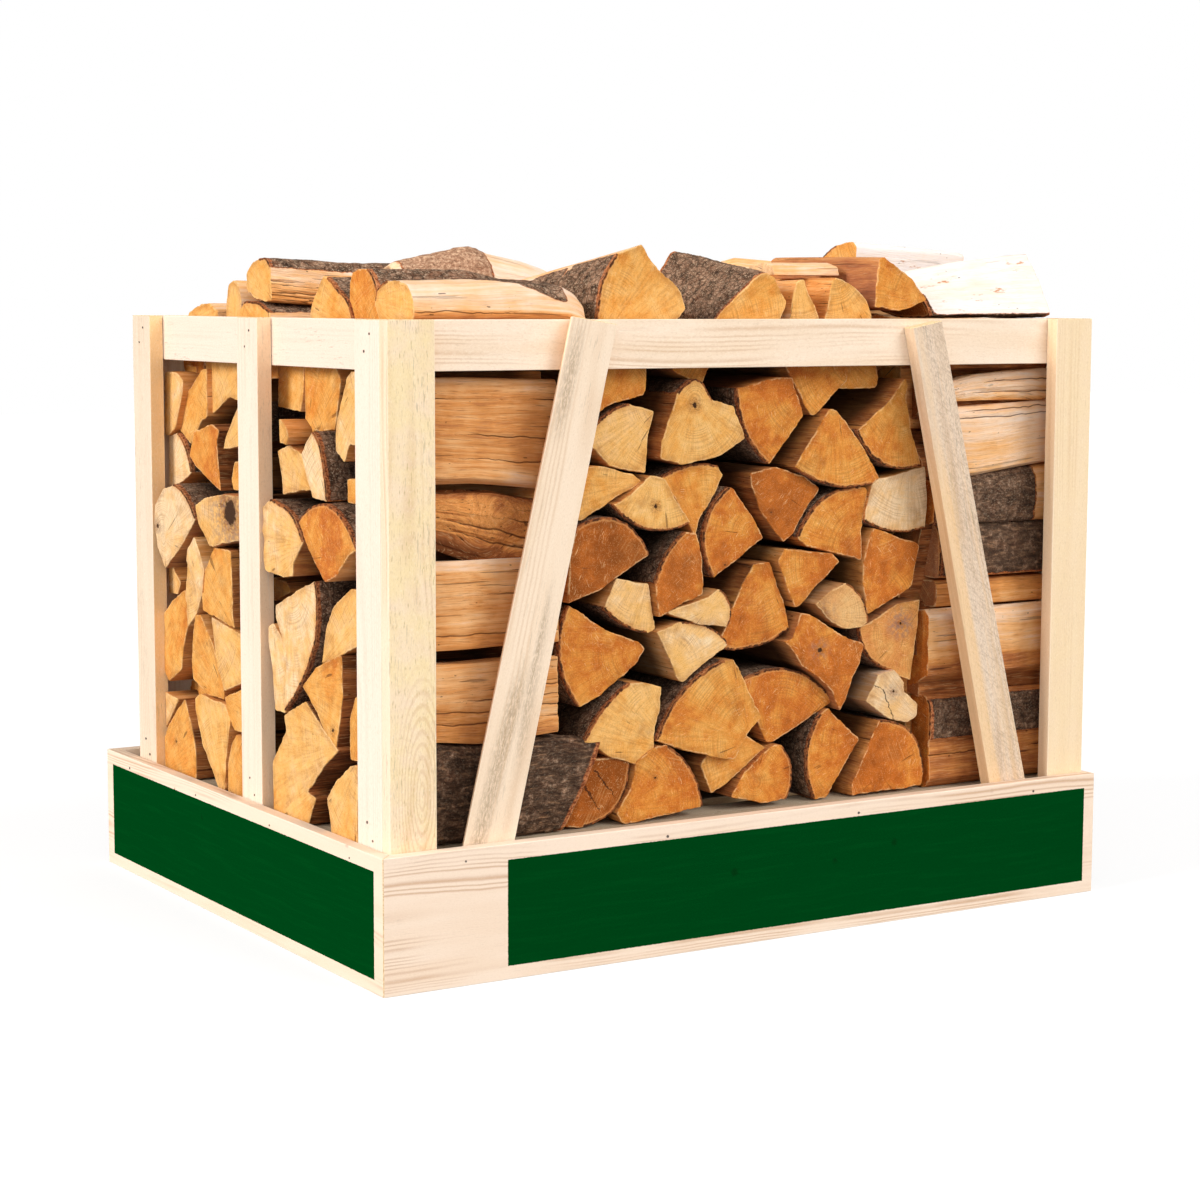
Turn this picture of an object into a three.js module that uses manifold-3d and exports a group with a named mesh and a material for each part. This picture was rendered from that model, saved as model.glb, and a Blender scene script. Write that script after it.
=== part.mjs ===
// A slatted timber crate on a boxed plinth, packed and heaped with split beech firewood.
// Tables are in the crate's own coordinates: x to the right along the front, y to the back and z up,
// in millimetres from the ground under the crate's left front corner.
import * as THREE from 'three';
import { mergeVertices } from 'three/addons/utils/BufferGeometryUtils.js';
import Module from 'manifold-3d';

const wasm = await Module();
wasm.setup();

// Driving dimensions
const CRATE = { width: 1096, depth: 800, top: 807 };
const PLINTH = { left: -20, right: 1102, front: -20, back: 878, top: 169.5, thick: 18 };
const DECK_TOP = 160;
const BOARD = { width: 64, thick: 21 };
const CORNER_SIDE_WIDTH = 66;
const RAIL_HEIGHT = 62;
const MID_POST_CENTRE = 402;
const DECK = { thick: 21, count: 5, first: 105, gap: 40, back: 857 };
const BEARER = { width: 98, lefts: [20, 492, 960] };
const JOINT_GAP = 0.3;
const REBATE = { reach: 30, ease: 0.4, over: 5 };
const BARK_STEPS = 4;

// Stacks: cores that the log ends stand out from
const CORE_DEPTH = 86;
const LEFT_CORE_TOP = 735;
const LEFT_CORE = { from: 48, to: 244, front: 92, back: 755 };
const MIDDLE_CORE = { from: 305, to: 835, top: 745 };
const END_OVERLAP = 4;

// Front braces, corner by corner [x, z]; the back braces are the same boards again.
const LEFT_BRACE = [[97.8, 160.3], [171, 160.3], [318.8, 801], [253.4, 811]];
const RIGHT_BRACE = [[929.5, 160.3], [994.3, 160.3], [830.4, 804.5], [781.2, 795]];

// Log ends of the middle stack on the front: how far the end is set back from the crate's front, and its
// corners [x, z, bow]. The bow is how far the edge to the next corner bulges out, where it is bark.
const FRONT_ENDS = [
  { back: 52, at: [[325, 762], [395, 762], [395, 720], [391, 710], [342, 699], [325, 690]] },
  { back: 58, at: [[318, 671, 4], [372, 699], [411, 690], [401, 660], [397, 611], [343, 621], [315, 650]] },
  { back: 46, at: [[413, 630], [415, 650], [430, 690], [437, 710, 23], [489, 703], [525, 695], [544, 653],
    [503, 630], [448, 621]] },
  { back: 50, at: [[533, 717], [596, 731], [621, 731], [630, 702], [639, 680], [586, 618, 14]] },
  { back: 55, at: [[288, 556], [290, 603], [302, 622], [328, 623], [379, 610], [392, 600], [350, 579],
    [300, 553]] },
  { back: 48, at: [[342, 573], [374, 589], [399, 609], [423, 604], [441, 573], [461, 547, 21]] },
  { back: 60, at: [[424, 604, 9], [510, 617], [519, 605], [500, 570], [483, 550], [476, 526], [436, 589]] },
  { back: 50, at: [[277, 450], [281, 510], [290, 545, 29], [399, 507], [349, 480], [325, 466]] },
  { back: 46, at: [[406, 468, 7], [451, 534], [470, 533], [477, 503], [480, 480], [479, 451], [449, 442],
    [411, 425]] },
  { back: 57, at: [[504, 470, 28], [526, 589], [532, 588], [562, 552], [582, 520], [548, 498]] },
  { back: 54, at: [[334, 441], [352, 480], [384, 471], [400, 470], [406, 445], [412, 410], [401, 405, 6]] },
  { back: 62, at: [[286, 447], [344, 411], [392, 392], [400, 384], [388, 366], [327, 325], [303, 315, 22]] },
  { back: 48, at: [[425, 431], [490, 447], [505, 457, 11], [520, 407], [475, 413]] },
  { back: 52, at: [[412, 406], [449, 416, 9], [524, 385], [520, 379], [475, 353], [453, 338], [446, 340],
    [425, 383]] },
  { back: 58, at: [[551, 464], [567, 486], [593, 486], [622, 420], [627, 398, 10], [517, 376], [514, 388],
    [528, 420]] },
  { back: 62, at: [[617, 760], [618, 742], [640, 710], [659, 680], [667, 679], [703, 711], [720, 723],
    [725, 760]] },
  { back: 48, at: [[625, 612], [680, 688], [693, 687], [737, 638], [766, 594], [756, 587, 11], [640, 604]] },
  { back: 46, at: [[806, 727], [810, 716], [808, 697], [819, 655], [836, 610, 24], [725, 658], [778, 697]] },
  { back: 50, at: [[755, 586], [768, 593], [790, 596], [845, 606], [850, 560], [847, 523, 9], [744, 536],
    [746, 552]] },
  { back: 55, at: [[742, 483], [650, 506], [636, 517, 19], [735, 582], [748, 582], [753, 577], [745, 547],
    [742, 525]] },
  { back: 60, at: [[561, 606], [602, 613], [650, 599], [675, 581], [649, 550], [634, 526], [617, 512],
    [580, 553], [564, 590]] },
  { back: 50, at: [[601, 488], [612, 504], [650, 500], [691, 494], [704, 483], [685, 468], [650, 440],
    [635, 425], [629, 425]] },
  { back: 47, at: [[662, 428], [691, 446], [709, 454, 10], [749, 400], [741, 394], [719, 391], [704, 395],
    [685, 405]] },
  { back: 52, at: [[743, 450], [743, 478], [753, 514], [761, 526], [800, 512], [833, 503], [840, 498],
    [833, 473], [829, 443], [800, 429], [751, 409]] },
  { back: 46, at: [[608, 382], [624, 384], [636, 417], [648, 416], [676, 401], [700, 385], [717, 377],
    [741, 371], [735, 344], [724, 329], [712, 294], [703, 281], [689, 309], [665, 331], [637, 348],
    [619, 374]] },
  { back: 57, at: [[742, 391], [772, 402], [804, 418], [845, 424], [842, 395], [832, 312], [806, 321],
    [800, 328, 15]] },
  { back: 60, at: [[550, 333, 26], [699, 297], [699, 290], [652, 268], [603, 245], [592, 245], [574, 283],
    [557, 320]] },
  { back: 46, at: [[409, 265, 17], [513, 362], [529, 362], [544, 338], [575, 283], [554, 265], [533, 230],
    [515, 232], [446, 252]] },
  { back: 50, at: [[302, 272, 7], [370, 342], [392, 342], [421, 335], [418, 305], [409, 281], [407, 253],
    [410, 240], [405, 228], [344, 248]] },
  { back: 54, at: [[286, 250], [344, 248], [372, 240, 22], [305, 162], [284, 161], [268, 166], [275, 213]] },
  { back: 47, at: [[350, 174], [371, 208], [380, 240], [407, 257], [425, 258, 12], [481, 173], [436, 168],
    [379, 160], [360, 162]] },
  { back: 60, at: [[487, 225], [497, 236], [535, 232], [554, 262], [591, 238], [550, 211], [517, 190],
    [504, 185], [494, 205]] },
  { back: 52, at: [[531, 179], [551, 211], [592, 239], [600, 244], [611, 242, 13], [619, 168], [582, 166]] },
  { back: 55, at: [[677, 277], [689, 285], [743, 238], [711, 194], [687, 160], [670, 160, 18]] },
  { back: 48, at: [[728, 160], [726, 177], [771, 262, 24], [848, 185], [845, 166], [804, 164]] },
  { back: 50, at: [[750, 290], [770, 325], [798, 330], [815, 311], [815, 298], [840, 279], [837, 262],
    [822, 255], [790, 262]] },
  { back: 66, at: [[440, 760], [446, 740], [487, 722], [500, 745], [502, 760]] },
  { back: 68, at: [[712, 760], [712, 714], [772, 713], [778, 725], [770, 760]] },
];

// Log ends of the left stack on the left side: how far the end is set back from the crate's side, and its
// corners [y, z, bow]. The right stack is the same layout mirrored.
const SIDE_ENDS = [
  { back: 45, at: [[399, 760], [322, 760], [326, 710], [334, 685], [405, 690]] },
  { back: 45, at: [[324, 760], [240, 760], [215, 728], [227, 685], [235, 667], [297, 661], [320, 650],
    [324, 677]] },
  { back: 18, at: [[144, 735], [133, 742], [91, 742], [91, 655], [138, 653], [153, 630], [177, 644],
    [176, 675], [162, 703]] },
  { back: 3, at: [[212, 667], [192, 651], [179, 614], [173, 581], [214, 583], [231, 609], [246, 636],
    [231, 653]] },
  { back: 20, at: [[355, 636], [315, 645], [280, 634], [253, 591], [337, 579], [340, 601]] },
  { back: 10, at: [[325, 677], [305, 667], [298, 655], [305, 646], [325, 646]] },
  { back: 20, at: [[150, 610], [91, 615], [91, 580], [150, 581]] },
  { back: 2, at: [[252, 552, 7], [170, 578, 9], [91, 527], [112, 520], [145, 493], [178, 480], [221, 515]] },
  { back: 3, at: [[343, 573], [367, 561], [364, 544], [369, 530], [362, 522], [366, 495], [360, 479],
    [302, 475], [272, 480], [271, 495], [240, 525], [272, 557], [302, 566]] },
  { back: 45, at: [[425, 462], [385, 460], [372, 447], [425, 430]] },
  { back: 8, at: [[340, 436], [265, 465], [220, 478, 6], [220, 402, 9], [315, 300], [308, 361], [322, 396],
    [341, 420]] },
  { back: 8, at: [[345, 411], [321, 394], [306, 361], [313, 298], [343, 297], [352, 354], [361, 384],
    [360, 405]] },
  { back: 8, at: [[315, 295], [248, 322], [198, 294], [153, 272], [193, 246], [246, 205], [222, 200],
    [246, 160], [352, 160], [354, 226], [309, 275]] },
  { back: 8, at: [[261, 339], [221, 369], [146, 392], [143, 342], [161, 274], [198, 292], [218, 312]] },
  { back: 15, at: [[214, 374], [202, 417], [183, 448], [134, 475], [91, 476], [91, 415], [136, 400],
    [180, 382]] },
  { back: 15, at: [[138, 312], [120, 342], [91, 347], [91, 264], [138, 262]] },
  { back: 1, at: [[178, 209], [148, 236], [108, 261], [89, 262], [89, 160], [163, 160], [168, 181]] },
  { back: 37, at: [[757, 726], [747, 728], [705, 712], [720, 686], [737, 653], [757, 639]] },
  { back: 38, at: [[738, 651], [718, 681], [695, 698], [640, 733], [624, 733], [623, 668], [643, 661],
    [685, 628]] },
  { back: 45, at: [[620, 760], [520, 760], [520, 690], [562, 697], [632, 669]] },
  { back: 18, at: [[527, 628], [520, 643], [475, 686], [450, 695], [450, 640], [517, 628]] },
  { back: 15, at: [[635, 614], [616, 649], [554, 661], [531, 654], [539, 636], [529, 571], [609, 599]] },
  { back: 20, at: [[502, 588], [492, 613], [450, 621], [450, 575], [494, 575]] },
  { back: 34, at: [[757, 562], [755, 636], [720, 641, 8], [673, 587], [700, 575]] },
  { back: 2, at: [[735, 518], [731, 540], [700, 564], [660, 573, 9], [587, 529], [630, 494], [698, 452],
    [724, 480]] },
  { back: 3, at: [[588, 549], [557, 561], [494, 571], [437, 571], [437, 512], [500, 502], [540, 496],
    [578, 525]] },
  { back: 8, at: [[635, 468], [630, 485], [607, 504], [592, 490], [572, 460], [580, 428], [605, 440]] },
  { back: 10, at: [[576, 457], [541, 494], [486, 494], [481, 407], [476, 390], [583, 403], [586, 425]] },
  { back: 15, at: [[735, 355], [717, 382], [649, 427], [599, 427], [595, 402], [652, 359], [667, 357],
    [665, 307], [697, 292], [735, 290]] },
  { back: 12, at: [[621, 373], [613, 395], [596, 395], [556, 358], [523, 313], [521, 287], [571, 286],
    [623, 303], [628, 328]] },
  { back: 12, at: [[561, 397], [450, 384], [450, 320], [516, 300], [541, 333]] },
  { back: 12, at: [[518, 292], [450, 312], [450, 250], [484, 250], [504, 268]] },
  { back: 10, at: [[612, 278], [597, 285], [512, 283], [497, 261], [512, 206], [517, 160], [537, 160],
    [589, 216], [612, 261]] },
  { back: 12, at: [[735, 205], [719, 225], [656, 271], [634, 238], [619, 206], [619, 160], [735, 160]] },
  { back: 15, at: [[735, 271], [683, 267], [735, 218]] },
  { back: 12, at: [[508, 203], [492, 233], [477, 245], [450, 246], [450, 160], [510, 160]] },
  { back: 30, at: [[752, 452], [740, 452], [709, 430], [720, 412], [752, 410]] },
];

// Logs that lie along the front of the left and right stacks: right or left end [x], section [y, z].
const LEFT_COLUMN = [
  { to: 262, at: [[46, 617], [50, 726], [60, 737], [88, 735], [88, 608], [56, 610]] },
  { to: 262, at: [[50, 553], [46, 580], [54, 600], [88, 602], [88, 540], [62, 530]] },
  { to: 262, at: [[46, 404], [48, 500], [56, 515], [88, 512], [88, 402]] },
  { to: 262, at: [[46, 290], [46, 352], [52, 386], [88, 384], [88, 288]] },
  { to: 262, at: [[46, 166], [46, 268], [54, 283], [88, 280], [88, 161], [54, 161]] },
];
const RIGHT_COLUMN = [
  { from: 872, at: [[50, 696], [46, 715], [56, 738], [88, 736], [88, 697]] },
  { from: 874, at: [[46, 606], [48, 680], [58, 692], [88, 690], [88, 604], [56, 602]] },
  { from: 860, at: [[48, 530], [46, 580], [58, 598], [88, 594], [88, 526], [58, 526]] },
  { from: 858, at: [[46, 318], [46, 398], [56, 408], [88, 404], [88, 300], [66, 306]] },
  { from: 857, at: [[46, 172], [46, 270], [56, 289], [88, 286], [88, 161], [56, 161]] },
];

// The two dark logs of the right column that show least stay in the right stack.
const RIGHT_COLUMN_FILL = [
  { from: 872, to: 1072, at: [[50, 452], [48, 505], [60, 521], [96, 518], [96, 450]] },
  { from: 872, to: 1072, at: [[56, 411], [54, 436], [62, 447], [96, 446], [96, 410]] },
];
const COLUMN_CLEARANCE = 1;

// Heap above the rails. Logs along y have a section [x, z]; logs along x have a section [y, z].
// The far end may be lifted, made lower about the log's foot, and made narrower about one edge.
const HEAP_LENGTHWISE = [
  { name: 'log_heap_bark_wedge', from: 50, to: 298,
    far: { foot: 768, tall: 0.73, lift: 0, edge: 390, wide: 1 },
    at: [[318, 768], [320, 812], [325, 850], [335, 870], [350, 890], [385, 901], [400, 880], [412, 868],
      [430, 855], [445, 840], [453, 820], [436, 800], [400, 768]] },
  { name: 'log_heap_bark_leaning', from: 50, to: 298,
    far: { foot: 770, tall: 1, lift: 32, edge: 611, wide: 0.7 },
    at: [[495, 800], [520, 825], [548, 848], [565, 862], [580, 866], [592, 860], [603, 840], [611, 828],
      [600, 800], [585, 775], [520, 770]] },
  { name: 'log_heap_thin_wedge', from: 52, to: 300,
    far: { foot: 770, tall: 0.95, lift: 0, edge: 640, wide: 1 },
    at: [[617, 800], [622, 840], [628, 857], [640, 858], [645, 845], [658, 825], [667, 800], [662, 770],
      [620, 770]] },
  { name: 'log_heap_quarter', from: 50, to: 300,
    far: { foot: 775, tall: 0.95, lift: 0, edge: 700, wide: 1 },
    at: [[671, 800], [678, 830], [684, 855], [690, 862], [705, 857], [725, 845], [742, 830], [750, 812],
      [750, 778], [674, 775]] },
  { name: 'log_heap_orange', from: 46, to: 296,
    at: [[753, 822], [755, 850], [758, 885], [765, 890], [800, 868], [815, 860], [841, 832], [810, 820],
      [795, 816]] },
];
const HEAP_CROSSWISE = [
  { name: 'log_heap_corner', from: 57, to: 290, far: { foot: 775, tall: 0.62, lift: 0, edge: 50, wide: 1 },
    at: [[50, 822], [62, 845], [85, 853], [115, 853], [140, 843], [146, 825], [130, 800], [100, 775],
      [70, 778], [52, 800]] },
  { name: 'log_heap_scratched', from: 60, to: 305,
    at: [[222, 780], [220, 850], [212, 868], [195, 873], [175, 872], [162, 855], [150, 820], [150, 775]] },
  { name: 'log_heap_segment', from: 55, to: 305,
    at: [[318, 790], [312, 815], [285, 855], [270, 862], [250, 855], [235, 838], [226, 815], [226, 790],
      [240, 770], [300, 770]] },
  { name: 'log_heap_round_left', from: 55, to: 305,
    at: [[531, 850], [525, 868], [505, 882], [480, 887], [455, 886], [446, 870], [448, 830], [470, 828],
      [505, 832], [525, 840]] },
  { name: 'log_heap_flat_left', from: 50, to: 295,
    at: [[440, 770], [440, 812], [480, 825], [520, 826], [536, 815], [536, 770]] },
  { name: 'log_heap_rounded_end', from: 55, to: 300,
    at: [[540, 775], [543, 830], [555, 852], [575, 856], [590, 850], [600, 820], [600, 775]] },
  { name: 'log_heap_low_left', from: 50, to: 300,
    at: [[606, 785], [610, 815], [640, 824], [680, 822], [715, 812], [728, 790], [700, 768], [630, 768]] },
  { name: 'log_heap_bark_hump', from: 205, to: 440,
    far: { foot: 775, tall: 0.86, lift: 0, edge: 325, wide: 1 },
    at: [[325, 800], [328, 860], [345, 888], [365, 902], [385, 898], [405, 880], [415, 850], [415, 800],
      [390, 777], [345, 775]] },
  { name: 'log_heap_pale_back', from: 600, to: 848,
    at: [[312, 790], [315, 870], [335, 891], [360, 888], [382, 865], [385, 795], [350, 776]] },
  { name: 'log_heap_thin_split', from: 616, to: 742,
    at: [[112, 864], [116, 876], [140, 882], [172, 876], [176, 866], [150, 864]] },
  { name: 'log_heap_half_round', from: 846, to: 1063,
    at: [[50, 812], [52, 820], [75, 860], [105, 897], [135, 890], [160, 850], [165, 825], [120, 809],
      [70, 809]] },
  { name: 'log_heap_white_round', from: 846, to: 1072,
    at: [[218, 840], [218, 880], [230, 905], [255, 913], [285, 905], [302, 885], [302, 850], [280, 835],
      [240, 832]] },
];

// Logs of the heap that belong to the stacks: section corners about the log's middle, and where they lie.
const CAP_SECTIONS = [
  [[-36, -30], [-34, 18], [-8, 34], [22, 30], [38, 2], [30, -30]],
  [[-40, -30], [-30, 12], [4, 30], [36, 8], [40, -30]],
  [[-34, -30], [-38, 4], [-12, 26], [26, 22], [40, -8], [34, -30]],
];
const MIDDLE_CAPS = { count: 6, first: 350, pitch: 88 };
const MIDDLE_CAP_ROWS = [
  { from: 302, to: 542, middle: 738 },
  { from: 548, to: 753, middle: 800 },
];
const BACK_ROW_BASE = { from: 548, to: 753, foot: 735, top: 778 };
const RIGHT_TOP_CAPS = { count: 5, first: 350, pitch: 86, middle: 806, from: 852, to: 1050 };
const RIGHT_TOP_BASE = { from: 852, to: 1048, front: 200, back: 753, foot: 715, top: 794 };
const LEFT_TOP_CAPS = { count: 1, first: 382, pitch: 0, middle: 762, from: 52, to: 200 };
const UNDER_ORANGE = { from: 90, to: 290, at: [[762, 756], [762, 800], [790, 814], [832, 804], [834, 756]] };
const UNDER_WHITE = { from: 852, to: 1070, at: [[205, 790], [215, 828], [300, 830], [312, 790]] };

const COLOUR = {
  softwood: 0xf5ddb5,
  sawn: 0xcdb795,
  green: 0x004a1a,
  deck: 0xb8a58a,
  beech: 0xc8813f,
  pale: 0xe0b070,
};

// Helpers for outlines and solids

// Adds the points of the bark arc after each corner that has a bow.
function bowed(corners) {
  const points = corners.map(([u, v]) => new THREE.Vector2(u, v));
  const turn = Math.sign(THREE.ShapeUtils.area(points));
  const out = [];
  points.forEach((start, i) => {
    const end = points[(i + 1) % points.length];
    const bow = corners[i][2] ?? 0;
    out.push(start);
    if (bow === 0) return;
    const along = end.clone().sub(start);
    const outward = new THREE.Vector2(along.y, -along.x).normalize().multiplyScalar(turn * bow);
    for (let step = 1; step < BARK_STEPS; step += 1) {
      const t = step / BARK_STEPS;
      out.push(start.clone().addScaledVector(along, t).addScaledVector(outward, 4 * t * (1 - t)));
    }
  });
  return out;
}

// Lifts and shrinks the far end of an extruded log.
function shapeFarEnd(geometry, length, far) {
  const position = geometry.attributes.position;
  for (let i = 0; i < position.count; i += 1) {
    if (position.getZ(i) < length / 2) continue;
    position.setX(i, far.edge + (position.getX(i) - far.edge) * far.wide);
    position.setY(i, far.foot + (position.getY(i) - far.foot) * far.tall + far.lift);
  }
}

// Extrudes a section [u, v]: along x it stands on [y, z], and along y on [x, z].
function prism(axis, corners, from, to, far = null) {
  const length = to - from;
  const section = new THREE.Shape(bowed(corners));
  const geometry = new THREE.ExtrudeGeometry(section, { depth: length, bevelEnabled: false });
  const turn = new THREE.Matrix4();
  if (far) shapeFarEnd(geometry, length, far);
  if (axis === 'x') {
    turn.makeBasis(new THREE.Vector3(0, 1, 0), new THREE.Vector3(0, 0, 1), new THREE.Vector3(1, 0, 0));
    turn.setPosition(from, 0, 0);
    geometry.applyMatrix4(turn);
    return geometry;
  }
  geometry.scale(1, 1, -1);
  turn.makeBasis(new THREE.Vector3(1, 0, 0), new THREE.Vector3(0, 0, 1), new THREE.Vector3(0, -1, 0));
  turn.setPosition(0, from, 0);
  geometry.applyMatrix4(turn);
  return flipped(geometry);
}

// Turns every face round, after a mirroring.
function flipped(geometry) {
  const flat = geometry.index ? geometry.toNonIndexed() : geometry;
  const position = flat.attributes.position;
  for (let i = 0; i < position.count; i += 3) {
    const second = new THREE.Vector3().fromBufferAttribute(position, i + 1);
    const third = new THREE.Vector3().fromBufferAttribute(position, i + 2);
    position.setXYZ(i + 1, third.x, third.y, third.z);
    position.setXYZ(i + 2, second.x, second.y, second.z);
  }
  return flat;
}

function box(x0, x1, y0, y1, z0, z1) {
  const geometry = new THREE.BoxGeometry(x1 - x0, y1 - y0, z1 - z0);
  geometry.translate((x0 + x1) / 2, (y0 + y1) / 2, (z0 + z1) / 2);
  return geometry;
}

function toManifold(geometry) {
  const bare = geometry.clone();
  bare.deleteAttribute('normal');
  bare.deleteAttribute('uv');
  const merged = mergeVertices(bare, 1e-3);
  return new wasm.Manifold(new wasm.Mesh({
    numProp: 3,
    vertProperties: new Float32Array(merged.attributes.position.array),
    triVerts: new Uint32Array(merged.index.array),
  }));
}

function toGeometry(manifold) {
  const mesh = manifold.getMesh();
  const geometry = new THREE.BufferGeometry();
  geometry.setAttribute('position', new THREE.BufferAttribute(new Float32Array(mesh.vertProperties), 3));
  geometry.setIndex(new THREE.BufferAttribute(new Uint32Array(mesh.triVerts), 1));
  geometry.computeVertexNormals();
  return geometry;
}

function union(geometries) {
  return geometries.map(toManifold).reduce((sum, piece) => sum.add(piece));
}

function cut(manifold, geometries) {
  return geometries.map(toManifold).reduce((rest, piece) => rest.subtract(piece), manifold);
}

const crate = new THREE.Group();

function place(name, geometry, colour, roughness = 0.8) {
  const material = new THREE.MeshStandardMaterial({ color: colour, roughness, metalness: 0 });
  const mesh = new THREE.Mesh(geometry, material);
  mesh.name = name;
  crate.add(mesh);
  return mesh;
}

// The plinth: four boards round the pallet, mitred at the corners
function mitredBoard(length, height) {
  const ease = JOINT_GAP * Math.SQRT1_2;
  const inset = PLINTH.thick;
  const plan = new THREE.Shape([
    new THREE.Vector2(ease, 0),
    new THREE.Vector2(length - ease, 0),
    new THREE.Vector2(length - inset - ease, inset),
    new THREE.Vector2(inset + ease, inset),
  ]);
  return new THREE.ExtrudeGeometry(plan, { depth: height, bevelEnabled: false });
}

// The notch in the right board that the right posts and braces stand in
function postRebate() {
  const { width, depth } = CRATE;
  const from = width - REBATE.reach;
  const to = width + REBATE.ease;
  return box(from, to, -REBATE.over, depth + REBATE.ease, DECK_TOP - REBATE.ease, PLINTH.top + REBATE.over);
}

function buildPlinth() {
  const long = PLINTH.right - PLINTH.left;
  const deep = PLINTH.back - PLINTH.front;
  const boards = [
    ['plinth_board_front', long, 0, PLINTH.left, PLINTH.front],
    ['plinth_board_right', deep, Math.PI / 2, PLINTH.right, PLINTH.front],
    ['plinth_board_back', long, Math.PI, PLINTH.right, PLINTH.back],
    ['plinth_board_left', deep, -Math.PI / 2, PLINTH.left, PLINTH.back],
  ];
  for (const [name, length, turn, x, y] of boards) {
    const geometry = mitredBoard(length, PLINTH.top);
    geometry.rotateZ(turn);
    geometry.translate(x, y, 0);
    const isRight = name === 'plinth_board_right';
    const shaped = isRight ? toGeometry(cut(toManifold(geometry), [postRebate()])) : geometry;
    place(name, shaped, COLOUR.green);
  }
}

// The pallet: deck boards along the front with gaps between them, on three bearers
function buildPallet() {
  const inner = PLINTH.right - PLINTH.thick - JOINT_GAP;
  const pitch = (DECK.back - DECK.first) / (DECK.count - 1);
  const under = DECK_TOP - DECK.thick;
  place('deck_board_1', box(0, inner, 0, DECK.first, under, DECK_TOP), COLOUR.deck);
  for (let i = 1; i < DECK.count; i += 1) {
    const back = DECK.first + i * pitch;
    place(`deck_board_${i + 1}`, box(0, inner, back - pitch + DECK.gap, back, under, DECK_TOP), COLOUR.deck);
  }
  BEARER.lefts.forEach((left, i) => {
    const bearer = box(left, left + BEARER.width, 0, DECK.back, 0, under - JOINT_GAP);
    place(`pallet_bearer_${i + 1}`, bearer, COLOUR.deck);
  });
}

// Boxes of every upright and rail: name, then x, y and z from and to
function frameBoxes() {
  const { width, depth, top } = CRATE;
  const { width: w, thick: t } = BOARD;
  const foot = DECK_TOP + JOINT_GAP;
  const g = JOINT_GAP;
  const midFrom = MID_POST_CENTRE - w / 2;
  const railFoot = top - RAIL_HEIGHT;
  const inner = t + g;
  const sideBack = t + CORNER_SIDE_WIDTH;
  return [
    ['corner_front_left_face', 0, w, 0, t, foot, top],
    ['corner_front_left_side', 0, t, inner, sideBack, foot, top],
    ['corner_front_right_face', width - w, width, 0, t, foot, top],
    ['corner_front_right_side', width - t, width, inner, sideBack, foot, top],
    ['corner_back_left_side', 0, t, depth - w, depth, foot, top],
    ['corner_back_left_face', inner, inner + w, depth - t, depth, foot, top],
    ['corner_back_right_side', width - t, width, depth - w, depth, foot, top],
    ['corner_back_right_face', width - inner - w, width - inner, depth - t, depth, foot, top],
    ['middle_post_left', 0, t, midFrom, midFrom + w, foot, top],
    ['middle_post_right', width - t, width, midFrom, midFrom + w, foot, top],
    ['rail_front', inner, width - inner, inner, inner + t, railFoot, top],
    ['rail_back', inner, width - inner, depth - inner - t, depth - inner, railFoot, top],
    ['rail_left', inner, inner + t, inner + t + g, depth - inner - t - g, railFoot, top],
    ['rail_right', width - inner - t, width - inner, inner + t + g, depth - inner - t - g, railFoot, top],
  ];
}

function buildFrame() {
  for (const [name, ...sides] of frameBoxes()) {
    place(name, box(...sides), COLOUR.softwood);
  }
  const t = BOARD.thick;
  const backFrom = CRATE.depth - t;
  place('brace_front_left', prism('y', LEFT_BRACE, 0, t), COLOUR.softwood);
  place('brace_front_right', prism('y', RIGHT_BRACE, 0, t), COLOUR.sawn);
  place('brace_back_left', prism('y', LEFT_BRACE, backFrom, CRATE.depth), COLOUR.softwood);
  place('brace_back_right', prism('y', RIGHT_BRACE, backFrom, CRATE.depth), COLOUR.sawn);
}

// Every frame board grown by the joint gap, to keep the logs clear of it
function frameClearance() {
  const g = REBATE.ease;
  return frameBoxes().map(([, x0, x1, y0, y1, z0, z1]) => (
    box(x0 - g, x1 + g, y0 - g, y1 + g, z0 - g, z1 + g)
  ));
}

function mirrored(geometry) {
  geometry.scale(-1, 1, 1);
  geometry.translate(CRATE.width, 0, 0);
  return flipped(geometry);
}

function capLogs(axis, caps) {
  const logs = [];
  for (let i = 0; i < caps.count; i += 1) {
    const middle = caps.first + i * caps.pitch;
    const section = CAP_SECTIONS[i % CAP_SECTIONS.length];
    const corners = section.map(([u, v]) => [middle + u, caps.middle + v]);
    logs.push(prism(axis, corners, caps.from, caps.to));
  }
  return logs;
}

// Solids of the stack under the left heap: the core, the log ends in relief, and the back column
function sideStackPieces() {
  const { from, to, front, back: coreBack } = LEFT_CORE;
  const pieces = [box(from, to, front, coreBack, DECK_TOP + JOINT_GAP, LEFT_CORE_TOP)];
  for (const { back, at } of SIDE_ENDS) {
    const raised = at.map(([y, z, bow]) => [y, Math.max(z, DECK_TOP + JOINT_GAP), bow]);
    pieces.push(prism('x', raised, back, from + END_OVERLAP));
  }
  for (const { at } of LEFT_COLUMN) {
    const turned = at.map(([y, z]) => [CRATE.depth - y, z]);
    pieces.push(prism('x', turned, BOARD.thick + COLUMN_CLEARANCE, to));
  }
  return pieces;
}

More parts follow.
